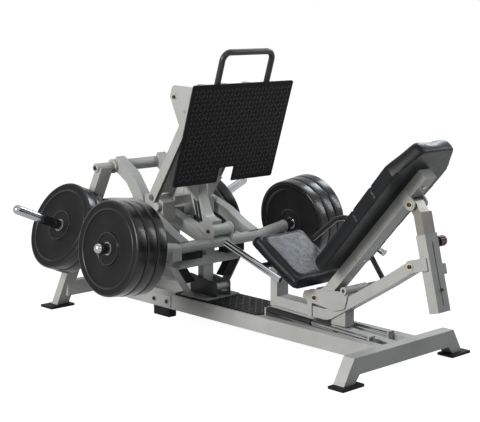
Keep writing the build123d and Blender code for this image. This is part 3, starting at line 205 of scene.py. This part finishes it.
# The bars are the plate's own steel. Their colour is lighter than the plate's as painted highlight, besides
# their glossier finish.
TREAD_BAR_PAINTED_HIGHLIGHT = surface("tread_bars_painted_highlight", dark=(0.010, 0.010, 0.011), light=(0.017, 0.017, 0.018), rough=0.34,
                    specular=0.25, grain=700.0, grain_depth=0.03)
CHROME = surface("chrome", dark=(0.22, 0.225, 0.235), light=(0.38, 0.385, 0.395), rough=0.13, metallic=1.0,
                 mottle=5.0, grain=1500.0, grain_depth=0.004)
ZINC = surface("zinc", dark=(0.40, 0.34, 0.25), light=(0.55, 0.47, 0.36), rough=0.34, metallic=0.8,
               mottle=60.0)
STEEL = surface("steel", dark=(0.17, 0.16, 0.14), light=(0.24, 0.23, 0.21), rough=0.34, metallic=0.5,
                specular=0.2, mottle=7.0, bevel=1.5)
PLATE_FACE = surface("plate_rubber", dark=(0.007, 0.007, 0.0073), light=(0.011, 0.011, 0.011), rough=0.5,
                     specular=0.08, wear=(0.014, 0.014, 0.014))
PLATE_RIM = surface("plate_rim", dark=(0.005, 0.005, 0.006), light=(0.008, 0.008, 0.009), rough=0.24,
                    specular=0.3, mottle=2.0, uneven=0.05, grain=1200.0, grain_depth=0.002)
RUBBER = surface("foot_rubber", dark=(0.006, 0.006, 0.006), light=(0.011, 0.011, 0.011), rough=0.6,
                 specular=0.1, grain=400.0, grain_depth=0.08, bevel=2.5)
PLASTIC = surface("black_plastic", dark=(0.008, 0.008, 0.008), light=(0.014, 0.014, 0.014), rough=0.4,
                  specular=0.2, grain=700.0, bevel=1.0)
KNOB = surface("knob_red", dark=(0.06, 0.007, 0.014), light=(0.09, 0.011, 0.02), rough=0.34, specular=0.2,
               grain=500.0, bevel=0.8)
BOARD = surface("board", dark=(0.009, 0.009, 0.009), light=(0.016, 0.015, 0.014), rough=0.6, specular=0.15,
                grain=260.0, grain_depth=0.1)
VINYL = surface("vinyl", dark=(0.0045, 0.005, 0.006), light=(0.0075, 0.0082, 0.0095), rough=0.36,
                specular=0.14, mottle=11.0, grain=620.0, grain_depth=0.08)

SLOT_FINISH = {
    "frame_paint": PAINT, "dark_paint": DARK, "tread_plate": TREAD, "chrome": CHROME, "zinc": ZINC,
    "plate_rubber": PLATE_FACE, "foot_rubber": RUBBER, "vinyl": VINYL, "black_plastic": PLASTIC,
    "knob_red": KNOB, "board": BOARD, "steel": STEEL,
}
NODE_FINISH = {"back_cap": PAINT, "slot_ball": PLASTIC, "pivot_cheeks": CHEEKS_IN_PAINTED_SHADE, "adjuster_inner": STEEL}

for subpart in frame["record"]["subparts"]:
    finish = NODE_FINISH.get(subpart["node"], SLOT_FINISH[subpart["material_slot"]])
    dressed = NODES[subpart["node"]].data.materials
    dressed.clear()
    dressed.append(finish)


# Mesh helpers

def piece(name, body, materials, build, smooth=35.0):
    """Make a mesh piece from a bmesh builder, on a body. Edges past the angle smooth stay sharp."""
    data = bpy.data.meshes.new(name)
    for one in materials:
        data.materials.append(one)
    shape = bmesh.new()
    build(shape)
    bmesh.ops.recalc_face_normals(shape, faces=shape.faces)
    shape.to_mesh(data)
    shape.free()
    made = bpy.data.objects.new(name, data)
    bpy.context.scene.collection.objects.link(made)
    data.shade_smooth()
    data.set_sharp_from_angle(angle=math.radians(smooth))
    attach(made, body)
    return made


def lathe(shape, origin, axis, profile, steps, material=0, closed=False):
    """Turn a profile about an axis.

    Its points are (radius, distance along the axis) in millimetres, and a point may carry the material of the
    band that starts at it. A closed profile comes back to its first point.
    """
    axis = axis.normalized()
    aside = axis.orthogonal().normalized()
    beside = axis.cross(aside)
    rings = []
    for radius, along, *_ in profile:
        centre = origin + axis * (along * MM)
        if radius == 0:
            rings.append([shape.verts.new(centre)])
            continue
        turns = (2 * math.pi * k / steps for k in range(steps))
        rings.append([shape.verts.new(centre + (aside * math.cos(t) + beside * math.sin(t)) * (radius * MM))
                      for t in turns])
    bands = list(zip(rings, rings[1:]))
    if closed:
        bands.append((rings[-1], rings[0]))
    for (a, b), point in zip(bands, profile):
        mark = point[2] if len(point) > 2 else material
        for k in range(steps):
            m = (k + 1) % steps
            if len(a) == 1:
                around = (a[0], b[m], b[k])
            elif len(b) == 1:
                around = (a[k], a[m], b[0])
            else:
                around = (a[k], a[m], b[m], b[k])
            shape.faces.new(around).material_index = mark


# Weights: a rounded glossy rim, a sunk web between two beads, a raised hub and a steel bush

PLATE_RADIUS, PLATE_THICK, PLATE_CORNER = 224.6, 60.4, 10.0
PLATE_PITCH = 61.0
BEAD, RING, BUSH, WEB_DEPTH = 184.0, 76.0, 31.0, 9.0
PLATE_FINISHES = (PLATE_FACE, PLATE_RIM, CHROME)
FACE, GLOSS, METAL = range(len(PLATE_FINISHES))
CORNER_STEPS = 6
PLATE_STEPS = 96


def plate_profile(bore):
    """A weight's outline, from the bore out over one side to the rim, and back over the other side."""
    half = PLATE_THICK / 2
    side = [
        (bore, half - 1.0, METAL),
        (bore + 1.2, half, METAL),
        (BUSH - 1.2, half, METAL),
        (BUSH, half - 1.0, METAL),
        (BUSH + 0.2, half - 3.2, FACE),
        (BUSH + 3.0, half - 4.2, FACE),
        (RING - 9.0, half - 4.4, FACE),
        (RING - 5.5, half - 3.2, FACE),
        (RING - 3.2, half - 0.9, GLOSS),
        (RING - 1.0, half - 0.1, GLOSS),
        (RING + 1.4, half - 0.9, GLOSS),
        (RING + 4.0, half - WEB_DEPTH + 1.6, FACE),
        (RING + 8.0, half - WEB_DEPTH, FACE),
        (BEAD - 12.0, half - WEB_DEPTH, FACE),
        (BEAD - 7.0, half - WEB_DEPTH + 1.4, FACE),
        (BEAD - 3.4, half - 2.6, GLOSS),
        (BEAD, half - 0.2, GLOSS),
        (BEAD + 2.8, half - 0.5, GLOSS),
        (BEAD + 5.0, half - 2.0, FACE),
        (BEAD + 8.0, half - 2.4, FACE),
        (PLATE_RADIUS - PLATE_CORNER - 8.0, half - 1.2, FACE),
    ]
    for k in range(CORNER_STEPS + 1):
        turn = math.radians(90 - 90 * k / CORNER_STEPS)
        side.append((PLATE_RADIUS - PLATE_CORNER + PLATE_CORNER * math.cos(turn),
                     half - PLATE_CORNER + PLATE_CORNER * math.sin(turn), GLOSS))
    return side + [(radius, -along, mark) for radius, along, mark in reversed(side)]


def weights(side, end, root, axis, count, bore, gap):
    """The weights on one horn. They start at gap millimetres from the horn's root."""
    def build(shape):
        for k in range(count):
            centre = root + axis * (gap + PLATE_PITCH * k + PLATE_PITCH / 2) * MM
            lathe(shape, centre, axis, plate_profile(bore), PLATE_STEPS, closed=True)

    made = piece(f"{side}_{end}_discs", f"{side}_{end}_weights", PLATE_FINISHES, build,
                 smooth=32.0)
    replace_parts(made, f"{side}_{end}_plates")


for sign, side in zip(SIDES, ("near", "far")):
    weights(side, "front", root=at(1229, 405.5, sign * 267), axis=leaning(sign, 8.0), count=3,
            bore=25.6, gap=253.4)
    weights(side, "rear", root=at(1850, 399, sign * 343), axis=leaning(sign, 23.3), count=2,
            bore=24.6, gap=76.4)


# Bolts: a zinc washer under a black button head with a hex socket, and the pins between them

BOLT_FINISHES = (ZINC, DARK, CHROME)
WASHER, HEAD, PIN = range(len(BOLT_FINISHES))
WASHER_STEPS, HEAD_STEPS, SOCKET_STEPS, PIN_STEPS = 40, 36, 6, 32
HEAD_TALL = 8.2
SOCKET = 0.52


def bolt(shape, centre, axis, washer, head):
    """A washer and a head of the given radii, the axis pointing out of the material."""
    lathe(shape, centre, axis, [
        (head * 0.6, 0.0), (washer - 0.6, 0.0), (washer, 0.6), (washer, 2.6), (washer - 0.8, 3.3),
        (head * 0.6, 3.3)], WASHER_STEPS, WASHER, closed=True)
    lathe(shape, centre, axis, [
        (head * 0.5, 3.0), (head, 3.0), (head, HEAD_TALL - 1.4), (head * 0.9, HEAD_TALL + 1.4),
        (head * 0.68, HEAD_TALL + 2.8), (head * SOCKET, HEAD_TALL + 2.8)], HEAD_STEPS, HEAD)
    lathe(shape, centre, axis, [
        (head * SOCKET, HEAD_TALL + 2.8), (head * 0.50, HEAD_TALL - 2.2), (0, HEAD_TALL - 2.6)],
        SOCKET_STEPS, HEAD)


def bolts(name, node_name, body, heads, pins=()):
    """Heads are (centre, axis, washer radius, head radius), and pins (start, radius, length)."""
    def build(shape):
        for centre, axis, washer, head in heads:
            bolt(shape, centre, axis, washer, head)
        for start, radius, length in pins:
            lathe(shape, start, ACROSS, [(0, 0), (radius, 0), (radius, length), (0, length)], PIN_STEPS, PIN)

    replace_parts(piece(name, body, BOLT_FINISHES, build), node_name)


def both_ends(y, z, half, washer=17.0, head=9.4):
    """A bolt at each end of a cross pin."""
    return [(at(y, z, sign * half), ACROSS * sign, washer, head) for sign in SIDES]


def cross_pin(y, z, half, radius):
    return at(y, z, -half), radius, 2 * half


# Hinges are y, z and half the width over their lugs.
SEAT_HINGE = (526, 248, 46)
ADJUSTER_HINGE = (-25, 477, 49.3)
UPPER_HINGE = (-13, 742, 46)
HUB = (1222, 469, 69.3)
JOINT_Y, JOINT_Z, JOINT_APART = 1510, 84.5, 49.5
JOINT_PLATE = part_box("joint_plates")[1].x / MM
PIPE_END = (1850, 747, 287)
BRACKET_INNER, BRACKET_OUTER = 68, 233
BRACKET_TOP, BRACKET_LINK = (1283, 1139), (1211, 1071)

bolts("seat_pivot_bolts", "pivot_bolts", "seat_carriage", both_ends(*SEAT_HINGE) + both_ends(*ADJUSTER_HINGE),
      [cross_pin(*SEAT_HINGE, 9), cross_pin(*ADJUSTER_HINGE, 9)])
bolts("upper_pivot_bolt", "upper_pin", "backrest", both_ends(*UPPER_HINGE), [cross_pin(*UPPER_HINGE, 8)])
bolts("hub_bolt", "hub_pin", "loading_beam", both_ends(*HUB, 15.0, 10.0), [cross_pin(*HUB, 10)])
bolts("rail_bolts", "frame_bolts", "frame",
      [(at(JOINT_Y + along * JOINT_APART, JOINT_Z, sign * JOINT_PLATE), ACROSS * sign, 11.0, 10.5)
       for sign in SIDES for along in SIDES] + both_ends(*PIPE_END, 13.0, 11.0))
bolts("bracket_bolts", "carrier_pins", "foot_carriage", both_ends(*BRACKET_TOP, BRACKET_OUTER, 15.0, 9.0),
      [(at(*BRACKET_LINK, start), 9, BRACKET_OUTER - BRACKET_INNER)
       for start in (-BRACKET_OUTER, BRACKET_INNER)])


# The rolled rim at the open end of the seat's chrome grip, and a flat dark disc just inside it: painted shade
# for the hollow bore

GRIP_END, GRIP_ROOT = at(595, 343, -200), at(956, 464, -200)
GRIP_BORE = 12.0
GRIP_STEPS = 48
GRIP_FINISHES = (CHROME, DARK)
RIM, BORE_PAINTED_SHADE = range(len(GRIP_FINISHES))


def grip_end(shape):
    out = GRIP_END - GRIP_ROOT
    lathe(shape, GRIP_END, out, [
        (GRIP_BORE, 0.3), (GRIP_BORE, 1.0), (GRIP_BORE + 0.8, 1.7), (GRIP_BORE + 3.0, 1.7),
        (GRIP_BORE + 4.3, 0.8), (GRIP_BORE + 4.3, -2.0)], GRIP_STEPS, RIM)
    # A flat dark disc just inside the rim, painted shade for the hollow bore.
    lathe(shape, GRIP_END, out, [(GRIP_BORE, 0.4), (0, 0.35)], GRIP_STEPS, BORE_PAINTED_SHADE)


piece("grip_end", "seat_carriage", GRIP_FINISHES, grip_end)


# Tread on the foot plate and the floor plate: short raised bars, turned by turns

TREAD_PITCH = 22.5
BAR_LONG, BAR_WIDE, BAR_TALL = 23.0, 5.0, 1.6
BAR_POINTS = 12
BAR_ROOT = 0.3


def signed_power(value, exponent):
    """A power that keeps the value's sign."""
    return math.copysign(abs(value) ** exponent, value)


def tread_bar(shape, base, along, out):
    """One bar: an oval whose sides slope up to a low ridge. Its foot is a little under the surface."""
    beside = out.cross(along)
    turns = [2 * math.pi * k / BAR_POINTS for k in range(BAR_POINTS)]
    outline = [(signed_power(math.cos(t), 0.8) * BAR_LONG / 2, signed_power(math.sin(t), 1.1) * BAR_WIDE / 2)
               for t in turns]
    low = [shape.verts.new(base + (along * a + beside * b - out * BAR_ROOT) * MM) for a, b in outline]
    mid = [shape.verts.new(base + (along * a * 0.86 + beside * b * 0.72 + out * BAR_TALL * 0.8) * MM)
           for a, b in outline]
    top = shape.verts.new(base + out * BAR_TALL * MM)
    for k in range(BAR_POINTS):
        m = (k + 1) % BAR_POINTS
        shape.faces.new((low[k], low[m], mid[m], mid[k]))
        shape.faces.new((mid[k], mid[m], top))


def tread(name, body, origin, rise, width, height, keep):
    """Bars over a surface from its origin up its rise, and across to both sides, where keep allows one."""
    out = ACROSS.cross(rise)
    rows, columns = int(height / TREAD_PITCH), int(width / TREAD_PITCH)
    margin = (height - rows * TREAD_PITCH) / 2

    def build(shape):
        for i in range(columns + 1):
            for j in range(rows + 1):
                across, up = (i - columns / 2) * TREAD_PITCH, j * TREAD_PITCH + margin
                if keep(across, up):
                    turn = math.radians(45 if (i + j) % 2 else -45)
                    along = ACROSS * math.cos(turn) + rise * math.sin(turn)
                    tread_bar(shape, origin + (ACROSS * across + rise * up) * MM, along, out)

    piece(name, body, (TREAD_BAR_PAINTED_HIGHLIGHT,), build, smooth=60.0)


FOOT_LOW, FOOT_HIGH = at(1187, 716), at(1031, 1206)
FOOT_RISE = (FOOT_HIGH - FOOT_LOW).normalized()
FOOT_LENGTH = (FOOT_HIGH - FOOT_LOW).length / MM
FOOT_WIDTH = 660
NOTCH_HALF, NOTCH_TALL = 45, 78
FLOOR_START = at(815, 127)
FLOOR_WIDTH, FLOOR_LENGTH = 242, 625
FLOOR_TO_STOP = 370
TREAD_EDGE = 12.0


def on_foot(across, up):
    """Inside the foot plate's edges and clear of its notch."""
    if abs(across) > FOOT_WIDTH / 2 - TREAD_EDGE or not TREAD_EDGE <= up <= FOOT_LENGTH - TREAD_EDGE:
        return False
    return abs(across) >= NOTCH_HALF + TREAD_EDGE or up >= NOTCH_TALL + TREAD_EDGE


def on_floor(across, along):
    """Inside the floor plate's edges, up to the stop's base plate."""
    return abs(across) < FLOOR_WIDTH / 2 - TREAD_EDGE and TREAD_EDGE < along <= FLOOR_TO_STOP


tread("foot_tread", "foot_carriage", FOOT_LOW, FOOT_RISE, FOOT_WIDTH, FOOT_LENGTH, on_foot)
tread("floor_tread", "frame", FLOOR_START, Vector((0, 1, 0)), FLOOR_WIDTH, FLOOR_LENGTH, on_floor)


# Pads: the solid's own form, remeshed, blown up as cloth, capped, then sewn

PAD_SMALLER, PAD_CAP, PAD_PINNED = 2.5, 7.0, 3.0
CLOTH_STIFFNESS, CLOTH_SHEAR, CLOTH_BENDING = 22.0, 8.0, 2.0
CLOTH_PRESSURE, CLOTH_MASS, CLOTH_QUALITY = 4.0, 0.4, 5
CLOTH_FRAMES = 20
EVEN_TURNS, EVEN_KEPT = 60, 0.4
# A seam's valley, stitch line and swells are a height and a width each. It fades out towards the pad's base.
VALLEY, STITCH, SWELL = (2.6, 7.5), (2.2, 2.4), (0.8, 4.0)
SWELL_AWAY = 10
SEAM_START, SEAM_FADE = 4.0, 8.0


def settled(made):
    """Put the object's evaluated mesh in place of its own mesh and modifiers."""
    graph = bpy.context.evaluated_depsgraph_get()
    graph.update()
    data = bpy.data.meshes.new_from_object(made.evaluated_get(graph))
    made.modifiers.clear()
    made.data = data


def read(collection, name):
    """Three numbers for each item of a mesh collection."""
    found = np.empty(len(collection) * 3, dtype=np.float32)
    collection.foreach_get(name, found)
    return found.reshape(-1, 3).astype(np.float64)


def corners(made):
    return read(made.data.vertices, "co")


def normals(made):
    return read(made.data.vertex_normals, "vector")


def put(made, points):
    made.data.vertices.foreach_set("co", points.astype(np.float32).ravel())
    made.data.update()


def evened(made, field):
    """A field over the mesh, averaged with its neighbours so that no crease is left in it."""
    ends = np.empty(len(made.data.edges) * 2, dtype=np.int32)
    made.data.edges.foreach_get("vertices", ends)
    first, second = ends.reshape(-1, 2).T
    count = np.bincount(ends, minlength=len(field))[:, None]
    for _ in range(EVEN_TURNS):
        total = np.zeros_like(field)
        for axis in range(3):
            total[:, axis] += np.bincount(first, field[second, axis], len(field))
            total[:, axis] += np.bincount(second, field[first, axis], len(field))
        field = EVEN_KEPT * field + (1 - EVEN_KEPT) * total / count
    return field


def blown(made, start, pinned):
    """How far each point moves when the mesh is blown up as cloth, with its pinned points held."""
    held = made.vertex_groups.new(name="held")
    held.add([int(i) for i in np.nonzero(pinned)[0]], 1.0, "REPLACE")
    cloth = made.modifiers.new("cloth", "CLOTH")
    cloth.settings.quality = CLOTH_QUALITY
    cloth.settings.mass = CLOTH_MASS
    cloth.settings.tension_stiffness = CLOTH_STIFFNESS
    cloth.settings.compression_stiffness = CLOTH_STIFFNESS
    cloth.settings.shear_stiffness = CLOTH_SHEAR
    cloth.settings.bending_stiffness = CLOTH_BENDING
    cloth.settings.use_pressure = True
    cloth.settings.uniform_pressure_force = CLOTH_PRESSURE
    cloth.settings.vertex_group_mass = held.name
    cloth.settings.effector_weights.gravity = 0.0
    cloth.point_cache.frame_start = 1
    cloth.point_cache.frame_end = CLOTH_FRAMES
    for frame_number in range(1, CLOTH_FRAMES + 1):
        bpy.context.scene.frame_set(frame_number)
    settled(made)
    bpy.context.scene.frame_set(1)
    moved = evened(made, corners(made) - start)
    far = np.linalg.norm(moved, axis=1, keepdims=True)
    return moved * np.minimum(1.0, PAD_CAP * MM / np.maximum(far, 1e-9))


def bell(away, height, width):
    return height * np.exp(-(away / width) ** 2)


def sewn(made, origin, along, out, seams):
    """Sink a groove across the pad at each of the seams, with a slight swell on both sides of it."""
    points, facing = corners(made), normals(made)
    height, run = (points - origin) @ out, (points - origin) @ along
    facing = facing - (facing @ along)[:, None] * along
    above = np.clip((height - SEAM_START * MM) / (SEAM_FADE * MM), 0.0, 1.0)
    for seam in seams:
        away = run / MM - seam
        depth = bell(away, *VALLEY) + bell(away, *STITCH) - bell(abs(away) - SWELL_AWAY, *SWELL)
        points = points - facing * (depth * above)[:, None] * MM
    put(made, points)


def pad(name, node_name, body, origin, along, out, voxel, seams=()):
    """A filled vinyl cushion that stands on the plane through origin, square to out."""
    made = bpy.data.objects.new(name, NODES[node_name].data.copy())
    bpy.context.scene.collection.objects.link(made)
    remesh = made.modifiers.new("remesh", "REMESH")
    remesh.mode = "VOXEL"
    remesh.voxel_size = voxel * MM
    settled(made)
    origin, along, out = (np.array(v, dtype=float) for v in (origin, along, out))
    points = corners(made)
    height = (points - origin) @ out
    lifted = np.clip(height / (voxel * MM), 0.0, 1.0)[:, None]
    points = points - normals(made) * PAD_SMALLER * MM * lifted
    put(made, points)
    points = points + blown(made, points, height < PAD_PINNED * MM)
    below = np.minimum((points - origin) @ out, 0.0)
    put(made, points - below[:, None] * out)
    made.modifiers.new("divided", "SUBSURF").levels = 1
    settled(made)
    sewn(made, origin, along, out, seams)
    made.data.materials.clear()
    made.data.materials.append(VINYL)
    made.data.shade_smooth()
    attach(made, body)
    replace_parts(made, node_name)


SEAT_LOW, SEAT_HIGH, SEAT_THICK = at(519, 338), at(811, 521), 50
SEAT_ALONG = (SEAT_HIGH - SEAT_LOW).normalized()
SEAT_OUT = Vector((0, -SEAT_ALONG.z, SEAT_ALONG.y))
BACK_LOW, BACK_LEAN = at(494, 283), math.radians(48.2)
BACK_ALONG = Vector((0, -math.cos(BACK_LEAN), math.sin(BACK_LEAN)))
BACK_OUT = Vector((0, math.sin(BACK_LEAN), math.cos(BACK_LEAN)))
BACK_SEAMS = (505, 655)

pad("seat_cushion", "seat_pad", "seat_carriage", SEAT_LOW - SEAT_OUT * SEAT_THICK * MM, SEAT_ALONG, SEAT_OUT,
    voxel=5.0)
pad("back_cushion", "back_pad", "backrest", BACK_LOW, BACK_ALONG, BACK_OUT, voxel=6.0, seams=BACK_SEAMS)


# Four button heads in the foot plate

FOOT_OUT = ACROSS.cross(FOOT_RISE)
BUTTON = [(8.6, -0.5), (8.6, 1.2), (7.6, 3.0), (5.0, 3.9), (3.4, 3.9), (3.2, 1.0), (0, 0.9)]
BUTTONS_ACROSS, BUTTONS_UP = (-152, 122), (262, 420)
BUTTON_STEPS = 36


def foot_buttons(shape):
    for across in BUTTONS_ACROSS:
        for up in BUTTONS_UP:
            lathe(shape, FOOT_LOW + (ACROSS * across + FOOT_RISE * up) * MM, FOOT_OUT, BUTTON, BUTTON_STEPS)


piece("foot_buttons", "foot_carriage", (PLASTIC,), foot_buttons)


# Camera

AZIMUTH, ELEVATION = math.radians(-43.66), math.radians(9.30)
camera = bpy.data.objects.new("camera", bpy.data.cameras.new("camera"))
camera.data.lens = 92.06
camera.data.sensor_width = 36.0
camera.data.clip_end = 60.0
camera.location = at(-3216, 1552, -4091)
camera.rotation_euler = (math.pi / 2 - ELEVATION, 0, AZIMUTH)
bpy.context.scene.collection.objects.link(camera)
bpy.context.scene.camera = camera
bpy.context.scene.view_settings.view_transform = "Standard"


# Floor and world: dim where they light the object, white where they are seen

WHITE = (1, 1, 1, 1)
FLOOR_HALF = 30.0
FLOOR_COLOUR = (0.26, 0.26, 0.26)
FLOOR_GLOW = 0.93
WORLD_COLOUR = (0.07, 0.075, 0.082, 1)


def seen_rays(tree):
    """1 for the camera, glossy and transmission rays, which see a white background, and 0 for the others."""
    rays = node(tree, "ShaderNodeLightPath").outputs
    seen = rays["Is Camera Ray"]
    for kind in ("Is Glossy Ray", "Is Transmission Ray"):
        seen = calculated(tree, "ShaderNodeMath", "MAXIMUM", seen, rays[kind]).outputs[0]
    return seen


def pale_floor():
    made = bpy.data.materials.new("floor_pale")
    made.use_nodes = True
    tree = made.node_tree
    shader = tree.nodes["Principled BSDF"]
    coord = node(tree, "ShaderNodeTexCoord").outputs["Object"]
    tint = ramp(tree, noise(tree, coord, 1.3), [0.985 * part for part in FLOOR_COLOUR], FLOOR_COLOUR)
    tree.links.new(tint, shader.inputs["Base Color"])
    shader.inputs["Roughness"].default_value = 0.75
    shader.inputs["Specular IOR Level"].default_value = 0.15
    shader.inputs["Emission Color"].default_value = WHITE
    glow = node(tree, "ShaderNodeMath", operation="MULTIPLY")
    tree.links.new(seen_rays(tree), glow.inputs[0])
    glow.inputs[1].default_value = FLOOR_GLOW
    tree.links.new(glow.outputs[0], shader.inputs["Emission Strength"])
    return made


def studio_world():
    made = bpy.data.worlds.new("studio")
    made.use_nodes = True
    tree = made.node_tree
    background = tree.nodes["Background"]
    colour = node(tree, "ShaderNodeMixRGB", Color1=WORLD_COLOUR, Color2=WHITE)
    tree.links.new(seen_rays(tree), colour.inputs["Fac"])
    tree.links.new(colour.outputs["Color"], background.inputs["Color"])
    background.inputs["Strength"].default_value = 1.0
    return made


floor_data = bpy.data.meshes.new("floor")
floor_shape = bmesh.new()
bmesh.ops.create_grid(floor_shape, x_segments=1, y_segments=1, size=FLOOR_HALF)
floor_shape.to_mesh(floor_data)
floor_shape.free()
floor_data.materials.append(pale_floor())
floor = bpy.data.objects.new("floor", floor_data)
bpy.context.scene.collection.objects.link(floor)
bpy.context.scene.world = studio_world()


# Lamps

def lamp(name, place, target, size, power, colour=(1, 1, 1)):
    """A soft rectangular lamp that faces its target."""
    data = bpy.data.lights.new(name, "AREA")
    data.shape = "RECTANGLE"
    data.size, data.size_y = size
    data.energy = power
    data.color = colour
    made = bpy.data.objects.new(name, data)
    made.location = place
    made.rotation_euler = (Vector(target) - Vector(place)).to_track_quat("-Z", "Y").to_euler()
    bpy.context.scene.collection.objects.link(made)


lamp("key", place=(-6.0, 0.0, 3.0), target=(0, 0.1, 0.4), size=(2.8, 2.8), power=480, colour=(1, 0.985, 0.95))
lamp("top", place=(0.4, 0.9, 4.4), target=(0, 0.2, 0.4), size=(2.0, 2.0), power=22, colour=(0.95, 0.98, 1))
lamp("front", place=(-1.1, -3.9, 3.1), target=(0, -0.6, 0.5), size=(1.0, 1.0), power=26)
lamp("side", place=(3.2, -2.2, 2.4), target=(0, 0, 0.5), size=(0.26, 1.8), power=42, colour=(0.93, 0.96, 1))
lamp("far", place=(3.1, 0.5, 3.2), target=(0, -0.2, 0.5), size=(1.1, 1.3), power=62, colour=(0.86, 0.93, 1))
